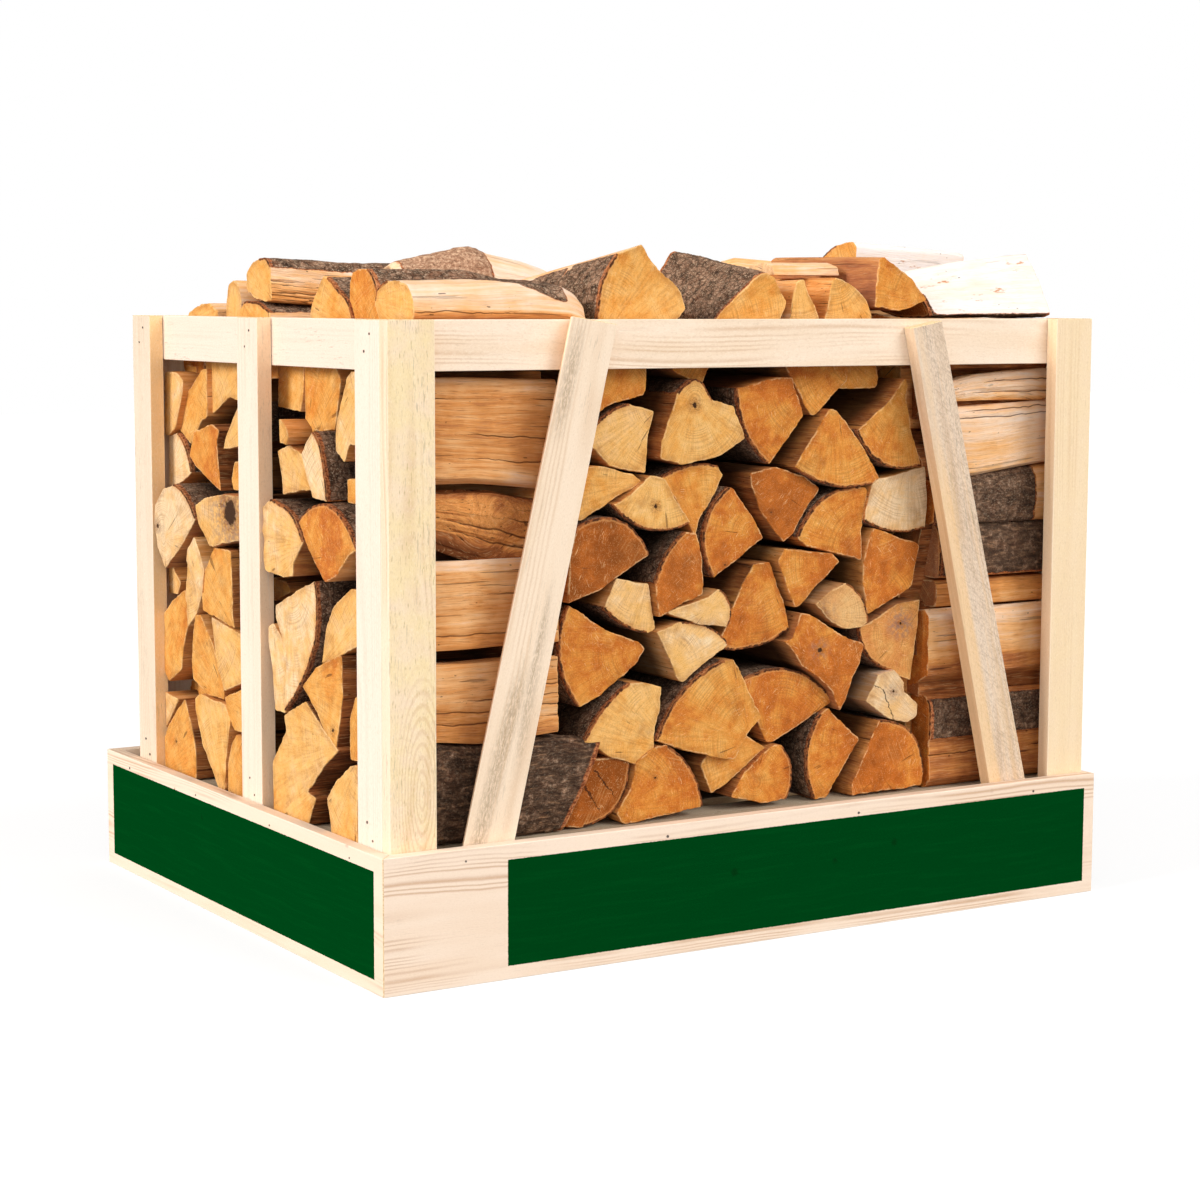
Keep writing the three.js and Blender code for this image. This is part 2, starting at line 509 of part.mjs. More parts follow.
function buildSideStacks() {
  const clearance = frameClearance();
  const left = union([...sideStackPieces(), ...capLogs('x', LEFT_TOP_CAPS)]);
  place('log_stack_left', toGeometry(cut(left, clearance)), COLOUR.beech);
  const fill = [...RIGHT_COLUMN_FILL, UNDER_WHITE].map(({ from, to, at }) => prism('x', at, from, to));
  const { from, to, front, back, foot, top } = RIGHT_TOP_BASE;
  const base = box(from, to, front, back, foot, top);
  const right = union([...sideStackPieces().map(mirrored), ...capLogs('x', RIGHT_TOP_CAPS), ...fill, base]);
  place('log_stack_right', toGeometry(cut(right, clearance)), COLOUR.beech);
}

// Solid of the middle stack: log ends on the front and on the back, a core, and the heap's back rows
function buildMiddleStack() {
  const { from, to, top } = MIDDLE_CORE;
  const coreBack = CRATE.depth - CORE_DEPTH;
  const pieces = [box(from, to, CORE_DEPTH, coreBack, DECK_TOP + JOINT_GAP, top)];
  for (const { back, at } of FRONT_ENDS) {
    const raised = at.map(([x, z, bow]) => [x, Math.max(z, DECK_TOP + JOINT_GAP), bow]);
    pieces.push(prism('y', raised, back, CORE_DEPTH + END_OVERLAP));
    pieces.push(prism('y', raised, coreBack - END_OVERLAP, CRATE.depth - back));
  }
  for (const row of MIDDLE_CAP_ROWS) {
    pieces.push(...capLogs('y', { ...MIDDLE_CAPS, ...row }));
  }
  pieces.push(prism('y', UNDER_ORANGE.at, UNDER_ORANGE.from, UNDER_ORANGE.to));
  const { from: rowFront, to: rowBack, foot, top: rowTop } = BACK_ROW_BASE;
  pieces.push(box(from, to, rowFront, rowBack, foot, rowTop));
  place('log_stack_middle', toGeometry(cut(union(pieces), frameClearance())), COLOUR.beech);
}

function buildColumns() {
  LEFT_COLUMN.forEach(({ to, at }, i) => {
    const log = prism('x', at, BOARD.thick + COLUMN_CLEARANCE, to);
    place(`log_left_column_${i + 1}`, log, COLOUR.beech);
  });
  RIGHT_COLUMN.forEach(({ from, at }, i) => {
    const log = prism('x', at, from, CRATE.width - BOARD.thick - COLUMN_CLEARANCE);
    place(`log_right_column_${i + 1}`, log, COLOUR.pale);
  });
}

function buildHeap() {
  for (const { name, from, to, far, at } of HEAP_LENGTHWISE) {
    place(name, prism('y', at, from, to, far), COLOUR.pale);
  }
  for (const { name, from, to, far, at } of HEAP_CROSSWISE) {
    place(name, prism('x', at, from, to, far), COLOUR.pale);
  }
}

buildPlinth();
buildPallet();
buildFrame();
buildSideStacks();
buildMiddleStack();
buildColumns();
buildHeap();
crate.position.set(-(PLINTH.left + PLINTH.right) / 2, -(PLINTH.front + PLINTH.back) / 2, 0);
const model = new THREE.Group();
model.add(crate);

export default model;
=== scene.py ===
"""Looks of a slatted softwood crate on a green panelled plinth, packed and heaped with split beech firewood.

Outlines are in the crate's own millimetres: x to the right along the front from the left outer face, y to
the back from the front outer face, and z up from the ground. An outline is a list of corners. Where the edge
after a corner is bark, the corner's third number is its bow: how far that edge bulges out.
"""
import logging
import math
from dataclasses import dataclass, replace
from enum import Enum
from typing import Any, Sequence

import bpy
import numpy as np
from mathutils import Matrix, Vector


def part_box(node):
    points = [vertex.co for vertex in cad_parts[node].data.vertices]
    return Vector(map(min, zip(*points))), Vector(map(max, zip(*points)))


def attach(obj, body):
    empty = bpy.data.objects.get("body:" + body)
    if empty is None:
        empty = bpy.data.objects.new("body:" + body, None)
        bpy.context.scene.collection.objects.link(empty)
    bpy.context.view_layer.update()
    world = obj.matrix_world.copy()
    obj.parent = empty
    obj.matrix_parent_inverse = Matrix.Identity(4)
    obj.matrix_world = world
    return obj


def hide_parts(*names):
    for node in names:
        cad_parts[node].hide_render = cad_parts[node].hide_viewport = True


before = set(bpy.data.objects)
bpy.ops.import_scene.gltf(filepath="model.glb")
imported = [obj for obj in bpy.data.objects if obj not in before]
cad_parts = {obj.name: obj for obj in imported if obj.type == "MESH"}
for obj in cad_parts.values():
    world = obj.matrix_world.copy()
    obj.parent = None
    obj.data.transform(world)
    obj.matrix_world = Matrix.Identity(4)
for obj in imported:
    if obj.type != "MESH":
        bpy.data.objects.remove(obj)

LOG = logging.getLogger("firewood_crate")
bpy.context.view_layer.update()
MM = 0.001
BODY = "root"
CRATE_WIDTH = 1096.0
CRATE_DEPTH = 800.0
DECK_TOP = 160.3
STACK_LOG_LENGTH = 245.0
EASED = 0.8
FAR = 60.0
NO_KNOT = (1e4, 1e4, 1.0)
SEED_STEP = 0.618
SHARP_ANGLE = math.radians(33.0)
FULL_TURN = 6.2832
BLENDER_UP = Vector((0.0, 0.0, 1.0))
Corner = Sequence[float]


def crate_corner() -> np.ndarray:
    """Gives the row frame's place of the crate's left front corner on the ground, in metres."""
    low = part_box("corner_front_left_face")[0]
    return np.array([low.x, low.y, 0.0])


def to_frame(points: np.ndarray) -> np.ndarray:
    """Turns crate millimetres into row frame metres."""
    return points * MM + crate_corner()


def linear(code: int) -> tuple[float, ...]:
    """Turns a colour as it looks on a screen, such as 0xC8813F, into Blender's linear values.

    Args:
        code: Red, green and blue, eight bits each.

    Returns:
        Linear red, green, blue and full opacity.
    """
    parts = [((code >> shift) & 255) / 255 for shift in (16, 8, 0)]
    curved = [p / 12.92 if p <= 0.04045 else ((p + 0.055) / 1.055) ** 2.4 for p in parts]
    return (*curved, 1.0)


class Noise:
    """Smooth noise from -1 to 1 on a hashed lattice, the same on every run."""

    SIZE = 4096
    PRIMES = np.array([73856093, 19349663, 83492791])

    def __init__(self, seed: int) -> None:
        """Draws the lattice values from the seed."""
        self.values = np.random.default_rng(seed).uniform(-1.0, 1.0, self.SIZE)

    def at(self, points: np.ndarray) -> np.ndarray:
        """Reads the noise.

        Args:
            points: Places with three columns, where one lattice cell is one unit.

        Returns:
            One value for each place.
        """
        cell = np.floor(points).astype(np.int64)
        part = points - cell
        part = part * part * (3.0 - 2.0 * part)
        total = np.zeros(points.shape[:-1])
        for corner in range(8):
            offset = np.array([(corner >> axis) & 1 for axis in range(3)])
            weight = np.prod(np.where(offset, part, 1.0 - part), axis=-1)
            key = np.bitwise_xor.reduce((cell + offset) * self.PRIMES, axis=-1) % self.SIZE
            total += weight * self.values[key]
        return total


SURFACE_NOISE = Noise(7)


@dataclass
class Surface:
    """Arrays of closed meshes: places, faces with their material slots, and values at each vertex."""

    points: np.ndarray
    quads: np.ndarray
    quad_slots: np.ndarray
    tris: np.ndarray
    tri_slots: np.ndarray
    values: dict[str, np.ndarray]

    @classmethod
    def joined(cls, parts: Sequence["Surface"]) -> "Surface":
        """Puts several surfaces into one.

        Args:
            parts: Surfaces that hold the same value names.

        Returns:
            One surface with all their faces.
        """
        starts = np.cumsum([0] + [len(part.points) for part in parts[:-1]])
        return cls(
            np.concatenate([part.points for part in parts]),
            np.concatenate([part.quads + start for part, start in zip(parts, starts)]),
            np.concatenate([part.quad_slots for part in parts]),
            np.concatenate([part.tris + start for part, start in zip(parts, starts)]),
            np.concatenate([part.tri_slots for part in parts]),
            {name: np.concatenate([part.values[name] for part in parts]) for name in parts[0].values},
        )

    def flipped(self) -> "Surface":
        """Turns every face round."""
        return replace(self, quads=self.quads[:, ::-1], tris=self.tris[:, ::-1])

    def to_object(self, name: str, materials: Sequence[bpy.types.Material]) -> bpy.types.Object:
        """Makes a Blender object whose place is in its mesh.

        Args:
            name: The piece's name.
            materials: One for each material slot.

        Returns:
            The new object, linked to the scene.
        """
        mesh = bpy.data.meshes.new(name)
        mesh.vertices.add(len(self.points))
        mesh.vertices.foreach_set("co", self.points.astype(np.float32).ravel())
        corners = np.concatenate([self.quads.ravel(), self.tris.ravel()])
        mesh.loops.add(len(corners))
        mesh.loops.foreach_set("vertex_index", corners.astype(np.int32))
        quad_starts = np.arange(len(self.quads)) * 4
        tri_starts = len(self.quads) * 4 + np.arange(len(self.tris)) * 3
        mesh.polygons.add(len(self.quads) + len(self.tris))
        mesh.polygons.foreach_set("loop_start", np.concatenate([quad_starts, tri_starts]).astype(np.int32))
        mesh.update(calc_edges=True)
        slots = np.concatenate([self.quad_slots, self.tri_slots])
        mesh.polygons.foreach_set("material_index", slots.astype(np.int32))
        mesh.polygons.foreach_set("use_smooth", np.ones(len(slots), bool))
        for key, value in self.values.items():
            kind, field_name = ("FLOAT_VECTOR", "vector") if value.ndim == 2 else ("FLOAT", "value")
            attribute = mesh.attributes.new(key, kind, "POINT")
            attribute.data.foreach_set(field_name, value.astype(np.float32).ravel())
        mesh.set_sharp_from_angle(angle=SHARP_ANGLE)
        for material in materials:
            mesh.materials.append(material)
        made = bpy.data.objects.new(name, mesh)
        bpy.context.scene.collection.objects.link(made)
        return made


def closed_loft(
    rings: np.ndarray, caps: Sequence[tuple[np.ndarray, np.ndarray]], side_slot: int, end_slot: int
) -> tuple[np.ndarray, np.ndarray, np.ndarray, np.ndarray, np.ndarray]:
    """Joins rings of points into a closed skin with a cap of smaller rings at each end.

    Args:
        rings: Shape (rings, points, 3), counterclockwise about the third axis.
        caps: For the start and the end, the inner rings from the rim inwards and the middle point.
        side_slot: Material slot of the skin between the rings.
        end_slot: Material slot of the caps.

    Returns:
        Points, quads, quad slots, tris and tri slots.
    """
    count = rings.shape[1]
    points = [rings.reshape(-1, 3)]
    quads: list[np.ndarray] = []
    slots: list[np.ndarray] = []
    tris: list[np.ndarray] = []
    index = np.arange(count)
    following = (index + 1) % count

    def strip(lower: int, upper: int, slot: int) -> None:
        """Adds the quads between two rings, given by their first points' numbers."""
        quads.append(np.stack([lower + index, lower + following, upper + following, upper + index], 1))
        slots.append(np.full(count, slot))

    for ring in range(len(rings) - 1):
        strip(ring * count, (ring + 1) * count, side_slot)
    total = len(rings) * count
    for end, (inner, middle) in enumerate(caps):
        outer = 0 if end == 0 else (len(rings) - 1) * count
        for ring in inner:
            points.append(ring)
            strip(*((total, outer) if end == 0 else (outer, total)), end_slot)
            outer = total
            total += count
        points.append(middle[None])
        pair = (following, index) if end == 0 else (index, following)
        tris.append(np.stack([np.full(count, total), outer + pair[0], outer + pair[1]], 1))
        total += 1
    joined = np.concatenate(tris)
    return (
        np.concatenate(points), np.concatenate(quads), np.concatenate(slots), joined,
        np.full(len(joined), end_slot),
    )


@dataclass
class Outline:
    """A log's section: points in millimetres counterclockwise, outward normals, and how much is bark."""

    points: np.ndarray
    normals: np.ndarray
    bark: np.ndarray

    @classmethod
    def traced(cls, corners: Sequence[Corner], step: float) -> "Outline":
        """Walks round the corners, arcs included, and rounds them slightly.

        Args:
            corners: Each has u, v and, where the edge after it is bark, its bow.
            step: Distance between points, in millimetres.

        Returns:
            The outline.
        """
        places = [np.array(corner[:2], float) for corner in corners]
        bows = [float(corner[2]) if len(corner) > 2 else 0.0 for corner in corners]
        area = sum(a[0] * b[1] - a[1] * b[0] for a, b in zip(places, places[1:] + places[:1]))
        if area < 0:
            places = places[::-1]
            bows = bows[:-1][::-1] + bows[-1:]
        points, bark = [], []
        for start, end, bow in zip(places, places[1:] + places[:1], bows):
            along = end - start
            length = float(np.hypot(*along))
            outward = np.array([along[1], -along[0]]) / length
            count = max(1, round(length / step))
            t = np.arange(count)[:, None] / count
            points.append(start + t * along + 4.0 * bow * t * (1.0 - t) * outward)
            bark.append(np.full(len(t), 1.0 if bow else 0.0))
        ring, soft = np.concatenate(points), np.concatenate(bark)
        ring = 0.2 * np.roll(ring, 1, 0) + 0.6 * ring + 0.2 * np.roll(ring, -1, 0)
        soft = 0.25 * np.roll(soft, 1) + 0.5 * soft + 0.25 * np.roll(soft, -1)
        tangent = np.roll(ring, -1, 0) - np.roll(ring, 1, 0)
        normals = np.stack([tangent[:, 1], -tangent[:, 0]], 1)
        return cls(ring, normals / np.linalg.norm(normals, axis=1)[:, None], soft)

    def heart(self) -> np.ndarray:
        """Finds the point that sees most of the outline, where the cap's rings shrink to.

        Returns:
            The point, in the section's millimetres.
        """
        low, high = self.points.min(0), self.points.max(0)
        axes = [np.linspace(low[k], high[k], 15) for k in range(2)]
        tries = np.stack(np.meshgrid(*axes), -1).reshape(-1, 2)
        gaps = np.einsum("tpk,pk->tp", self.points[None] - tries[:, None], self.normals)
        return tries[np.argmax(gaps.min(1))]

    def pith(self, corners: Sequence[Corner]) -> np.ndarray:
        """Guesses where the tree's pith lies, from the widest bark arc or else beyond the sharpest corner.

        Args:
            corners: The outline's corners with their bows.

        Returns:
            The pith, in the section's millimetres.
        """
        bowed = [
            (corner, corners[(i + 1) % len(corners)]) for i, corner in enumerate(corners)
            if len(corner) > 2 and corner[2] > 4.0
        ]
        middle = self.points.mean(0)
        if not bowed:
            reach = self.points - middle
            return middle + 1.35 * reach[np.argmax(np.linalg.norm(reach, axis=1))]
        start, end = max(bowed, key=lambda pair: math.dist(pair[0][:2], pair[1][:2]))
        chord = np.array(end[:2]) - np.array(start[:2])
        length, bow = float(np.hypot(*chord)), float(start[2])
        radius = min(length * length / (8.0 * bow) + bow / 2.0, 130.0)
        centre = (np.array(start[:2]) + np.array(end[:2])) / 2.0
        inward = middle - centre
        return centre + inward / np.linalg.norm(inward) * (radius - bow)


class Lie(Enum):
    """Which way a log lies: the columns of x, y and z among its section's u, v and its length w."""

    ALONG_X = (2, 0, 1)
    ALONG_Y = (0, 2, 1)


@dataclass(frozen=True)
class Station:
    """A log's section at a share of its length: how tall and wide it is there, and its lift and shift."""

    share: float
    tall: float = 1.0
    lift: float = 0.0
    wide: float = 1.0
    shift: float = 0.0


@dataclass(frozen=True)
class Course:
    """How a log's section changes along it, scaled about its foot and its edge.

    slant is how far the far end leans out for each millimetre above the foot.
    """

    foot: float
    stations: tuple[Station, ...] = (Station(0.0), Station(1.0))
    edge: float = 0.0
    slant: float = 0.0

    def along(self, share: np.ndarray) -> tuple[np.ndarray, ...]:
        """Reads the tallness, lift, width and shift at shares of the length.

        Args:
            share: Shares of the length.

        Returns:
            The four values, each an array like share.
        """
        places = [station.share for station in self.stations]
        rows = [(s.tall, s.lift, s.wide, s.shift) for s in self.stations]
        return tuple(np.interp(share, places, column) for column in zip(*rows))


@dataclass(frozen=True)
class BarkPatch:
    """A patch of bark between two angles about the section's middle, which change along the log.

    Each place has a share of the log's length, and the low and the high angle in degrees, from 0 at the
    section's right through 90 at its top.
    """

    places: tuple[tuple[float, float, float], ...]
    soft: float = 5.0

    def cover(self, share: np.ndarray, angle: np.ndarray) -> np.ndarray:
        """Works out how much the patch covers.

        Args:
            share: Shares of the log's length.
            angle: Angles in degrees, in an array of the same shape.

        Returns:
            0 outside to 1 inside.
        """
        shares, lows, highs = zip(*self.places)
        low, high = np.interp(share, shares, lows), np.interp(share, shares, highs)
        inside = np.minimum(angle - low, high - angle) / self.soft
        ends = np.minimum(share - shares[0], shares[-1] - share) / 0.03
        return np.clip(np.minimum(inside, ends), 0, 1)


@dataclass(frozen=True)
class Looks:
    """A log's own colours: the end's tone (0 dark to 1 pale), its sides' (0 pale to 1 dark), and a knot.

    bark_from and bark_to bound the bark along the log, as shares of its length. grey is how dusty the end
    and the bark are. heights gives the sides' tone at levels of the section, partly the wood's own tone and
    partly painted shade, darker on undersides and under the log above; cracks gives the levels of long
    cracks, and swirl how far its fibres wander. heart is the size of the knot's dark middle, smudge how
    strong a grey stain lies round it, and dark how much painted shade darkens the bark. deep is how soon
    painted shade darkens the sides as they run into a stack. A fissure crosses the end: the two places it
    runs between, and its half width.
    """

    tone: float = 0.4
    side: float = 0.6
    knot: tuple[float, float, float] | None = None
    bark_from: float = -1.0
    bark_to: float = 2.0
    grey: float = 0.0
    heights: tuple[tuple[float, float], ...] = ()
    cracks: tuple[float, ...] = ()
    swirl: float = 0.0
    patches: tuple[BarkPatch, ...] = ()
    heart: float = 0.35
    smudge: float = 0.0
    dark: float = 0.0
    deep: float = 0.0
    fissures: tuple[tuple[float, float, float, float, float], ...] = ()


@dataclass(frozen=True)
class Detail:
    """How finely a log is made: the step round it and the places of its rings along it, in millimetres."""

    step: float
    rings: tuple[float, ...]
    insets: tuple[float, ...]

    @classmethod
    def even(cls, step: float, spacing: float, length: float) -> "Detail":
        """Spaces the rings evenly, for a log that shows along its whole length.

        Args:
            step: Distance between points round the log.
            spacing: Distance between rings along it.
            length: The log's length.

        Returns:
            The detail.
        """
        count = max(2, round(length / spacing))
        rings = tuple(length * i / count for i in range(1, count))
        return cls(step, (EASED, *rings, length - EASED), (1.8, 5.0, 12.0, 24.0))


NEAR_DETAIL = Detail(3.3, (0.8, 4.0, 9.0, 16.0, 25.0, 36.0, 52.0, 78.0, 118.0, 180.0, 244.2), (1.6, 4.5, 11.0, 24.0))
BACK_DETAIL = Detail(6.0, (0.8, 9.0, 22.0, 50.0, 100.0, 160.0, 215.0, 236.0, 244.2), (2.0, 7.0, 20.0))
HIDDEN_DETAIL = Detail(14.0, (1.0, 120.0, 244.0), ())


@dataclass
class FirewoodLog:
    """One split log, lofted from its end's outline.

    Sides get split fibres or bark in relief, and both ends a saw cut with eased edges. All sizes are in
    millimetres of the crate.
    """

    lie: Lie
    start: float
    length: float
    corners: Sequence[Corner]
    looks: Looks
    seed: int
    detail: Detail
    course: Course | None = None
    relief: float = 1.0

    def bark_along(self, outline: Outline, w: np.ndarray) -> np.ndarray:
        """Spreads the outline's bark along the log, between the looks' limits.

        Args:
            outline: The section.
            w: Places along the log, from 0 to its length.

        Returns:
            Shape (places, points), 0 to 1.
        """
        share = w / self.length
        soft = 0.06
        inside = np.clip((share - self.looks.bark_from) / soft, 0, 1)
        inside = inside * np.clip((self.looks.bark_to - share) / soft, 0, 1)
        covered = inside[:, None] * outline.bark[None]
        reach = outline.points - outline.points.mean(0)
        angle = np.degrees(np.arctan2(reach[:, 1], reach[:, 0]))
        angle = np.where(angle < -60.0, angle + 360.0, angle)
        shape = (len(w), len(angle))
        shares, angles = np.broadcast_to(share[:, None], shape), np.broadcast_to(angle[None], shape)
        for patch in self.looks.patches:
            covered = np.maximum(covered, patch.cover(shares, angles))
        return covered

    def crack_reach(self, points: np.ndarray) -> np.ndarray:
        """Works out how far each place is from the nearest long crack.

        Args:
            points: Places (u, v, w) in millimetres.

        Returns:
            Millimetres, with a sign that changes at every crack, and more where a crack closes.
        """
        nearest = np.full(points.shape[:-1], FAR)
        sign = np.ones_like(nearest)
        for i, level in enumerate(self.looks.cracks):
            run = points[..., 2] + 97.0 * i + 31.0 * self.seed
            flat = np.stack([run / 38.0, np.full_like(run, i + 0.5), run * 0.0], -1)
            wander = 2.0 * SURFACE_NOISE.at(flat) + 1.1 * SURFACE_NOISE.at(flat * 4.3)
            wide = np.clip(0.4 + 1.7 * SURFACE_NOISE.at(flat * 0.5 + 5.0), 0.04, 1.0)
            away = points[..., 1] - level - wander
            sign *= np.where(away < 0, -1.0, 1.0)
            nearest = np.minimum(nearest, np.abs(away) / wide)
        return nearest * sign

    def fissure(self, points: np.ndarray, number: int) -> np.ndarray:
        """Works out how each place lies to a fissure across the end.

        Args:
            points: Places (u, v, w) in millimetres.
            number: Which of the looks' fissures.

        Returns:
            Half widths away from its line, share along it, and 0.
        """
        if number >= len(self.looks.fissures):
            return np.tile([9.0, -9.0, 0.0], (len(points), 1))
        u, v, other_u, other_v, half = self.looks.fissures[number]
        length = math.hypot(other_u - u, other_v - v)
        along = np.array([other_u - u, other_v - v]) / length
        reach = points[:, :2] - np.array([u, v])
        away = reach @ np.array([-along[1], along[0]]) / half
        return np.stack([away, reach @ along / length, away * 0.0], 1)

    def skin_height(self, points: np.ndarray, bark: np.ndarray) -> np.ndarray:
        """Works out how far the skin stands out, in millimetres: fibres where split, scales where bark.

        Args:
            points: Places (u, v, w) in millimetres.
            bark: How much each place is bark.

        Returns:
            Height at each place.
        """
        shifted = points + self.seed * np.array([37.7, 11.3, 53.9])
        coarse = SURFACE_NOISE.at(shifted / np.array([16.0, 16.0, 190.0]))
        fibre = SURFACE_NOISE.at(shifted / np.array([3.1, 3.1, 85.0]))
        scale = SURFACE_NOISE.at(shifted / 9.0) + 0.6 * SURFACE_NOISE.at(shifted / 3.6)
        waist = SURFACE_NOISE.at(shifted / 70.0)
        split = 1.1 * coarse + 0.75 * fibre - 1.5 * np.exp(-((self.crack_reach(points) / 1.7) ** 2))
        solid = np.clip(bark * 2.0, 0, 1)
        near = np.minimum(points[..., 2], self.length - points[..., 2])
        chips = np.clip(SURFACE_NOISE.at(shifted / np.array([6.0, 6.0, 4.0])) - 0.15, 0, 1) * np.exp(-near / 2.5)
        return self.relief * ((1.0 - solid) * split + solid * (0.9 + 0.8 * scale) + 0.9 * waist) - 1.8 * chips

    def bent(self, points: np.ndarray) -> np.ndarray:
        """Shapes the section along the log.

        Args:
            points: Places (u, v, w) in millimetres.

        Returns:
            The places, moved along the log's course.
        """
        if self.course is None:
            return points
        share = points[..., 2] / self.length
        tall, lift, wide, shift = self.course.along(share)
        u = self.course.edge + (points[..., 0] - self.course.edge) * wide + shift
        v = self.course.foot + (points[..., 1] - self.course.foot) * tall + lift
        lean = self.course.slant * (v - self.course.foot) * np.clip(share, 0, 1) ** 3
        return np.stack([u, v, points[..., 2] + lean], -1)

    def surface(self) -> Surface:
        """Builds the log's closed mesh with its values.

        Returns:
            The surface in the row frame, in metres. Slot 0 is its sides and slot 1 its ends.
        """
        outline = Outline.traced(self.corners, self.detail.step)
        w = np.array(self.detail.rings) * (self.length / self.detail_length())
        ring = np.broadcast_to(outline.points, (len(w), *outline.points.shape))
        rings = np.concatenate([ring, np.broadcast_to(w[:, None, None], (*ring.shape[:2], 1))], -1)
        bark = self.bark_along(outline, w)
        height = self.skin_height(rings, bark)
        rings = rings.copy()
        rings[..., :2] += outline.normals * height[..., None]
        heart, caps, rims = outline.heart(), [], []
        tilt = np.random.default_rng(self.seed).uniform(-0.02, 0.02, (2, 2))
        for end, (edge, place) in enumerate(((rings[0], 0.0), (rings[-1], self.length))):
            flat = [edge[:, :2] - outline.normals * EASED]
            reach = np.einsum("pk,pk->p", flat[0] - heart, outline.normals).clip(0.5)
            mean = float(np.linalg.norm(flat[0] - heart, axis=1).mean())
            flat += [heart + (flat[0] - heart) * (1 - inset / mean) for inset in self.detail.insets if inset < mean]
            inner = np.stack([np.concatenate([f, np.full((len(f), 1), place)], 1) for f in flat])
            middle = np.array([*heart, place])
            for group in (inner, rings[0 if end == 0 else -1], middle[None]):
                group[..., 2] += (group[..., :2] - heart) @ tilt[end]
            caps.append((inner, middle))
            shares = [0.0] + [inset / mean for inset in self.detail.insets if inset < mean]
            rims.append(np.concatenate([*(share * reach for share in shares), [float(reach.mean())]]))
        pith = outline.pith(self.corners)
        points, quads, quad_slots, tris, tri_slots = closed_loft(rings, caps, 0, 1)
        near = np.minimum(rings[..., 2], self.length - rings[..., 2]).ravel().clip(0.0)
        edge_bark = [np.concatenate([np.tile(bark[k], len(caps[end][0])), [0.0]]) for end, k in enumerate((0, -1))]
        knot = self.looks.knot or NO_KNOT
        # Tone of the sides by level: partly the wood's own tone, partly painted shade on undersides and under the log
        # above.
        levels = self.looks.heights or ((0.0, self.looks.side),)
        side = np.interp(points[:, 1], [level for level, _ in levels], [tone for _, tone in levels])
        swirl = np.zeros_like(points)
        if self.looks.swirl:
            place = points / np.array([45.0, 45.0, 55.0]) + self.seed
            swirl[:, 0], swirl[:, 1] = SURFACE_NOISE.at(place), SURFACE_NOISE.at(place + 9.5)
        capped = len(points) - rings[..., 0].size
        values = {
            "grain": (points + swirl * self.looks.swirl - np.array([*pith, 0.0])) * MM,
            "eye": np.concatenate([(points[:, :2] - np.array(knot[:2])) / knot[2], points[:, 2:] * MM], 1),
            "rim": np.concatenate([near, *rims]) * MM,
            "bark": np.concatenate([bark.ravel(), *edge_bark]),
            "look": np.stack([np.full(len(points), self.looks.tone), side, np.full(len(points), self.looks.grey)], 1),
            "seed": np.full(len(points), self.seed * SEED_STEP % 1.0),
            "crack": np.concatenate([self.crack_reach(rings).ravel(), np.full(capped, FAR)]),
            # painted shade: distance into the stack from the nearest end, which the side finish darkens
            "deep": np.concatenate([near, np.zeros(capped)]) * self.looks.deep * MM,
            "fissure_a": self.fissure(points, 0),
            "fissure_b": self.fissure(points, 1),
            # marks: the knot's heart size, the stain round it, and how much painted shade darkens the bark
            "marks": np.tile([self.looks.heart, self.looks.smudge, self.looks.dark], (len(points), 1)),
        }
        points = self.bent(points) + np.array([0.0, 0.0, self.start])
        made = Surface(to_frame(points[:, list(self.lie.value)]), quads, quad_slots, tris, tri_slots, values)
        return made.flipped() if self.lie is Lie.ALONG_Y else made

    def detail_length(self) -> float:
        """Gives the length that the detail's rings were spaced for."""
        return self.detail.rings[-1] + self.detail.rings[0]


@dataclass(frozen=True)
class End:
    """A log end as the photo's face shows it: its set-back, its tones as in Looks, and its corners."""

    back: float
    tone: float
    side: float
    at: tuple[Corner, ...]
    knot: tuple[float, float, float] | None = None
    grey: float = 0.0
    heart: float = 0.35
    smudge: float = 0.0
    fissures: tuple[tuple[float, float, float, float, float], ...] = ()


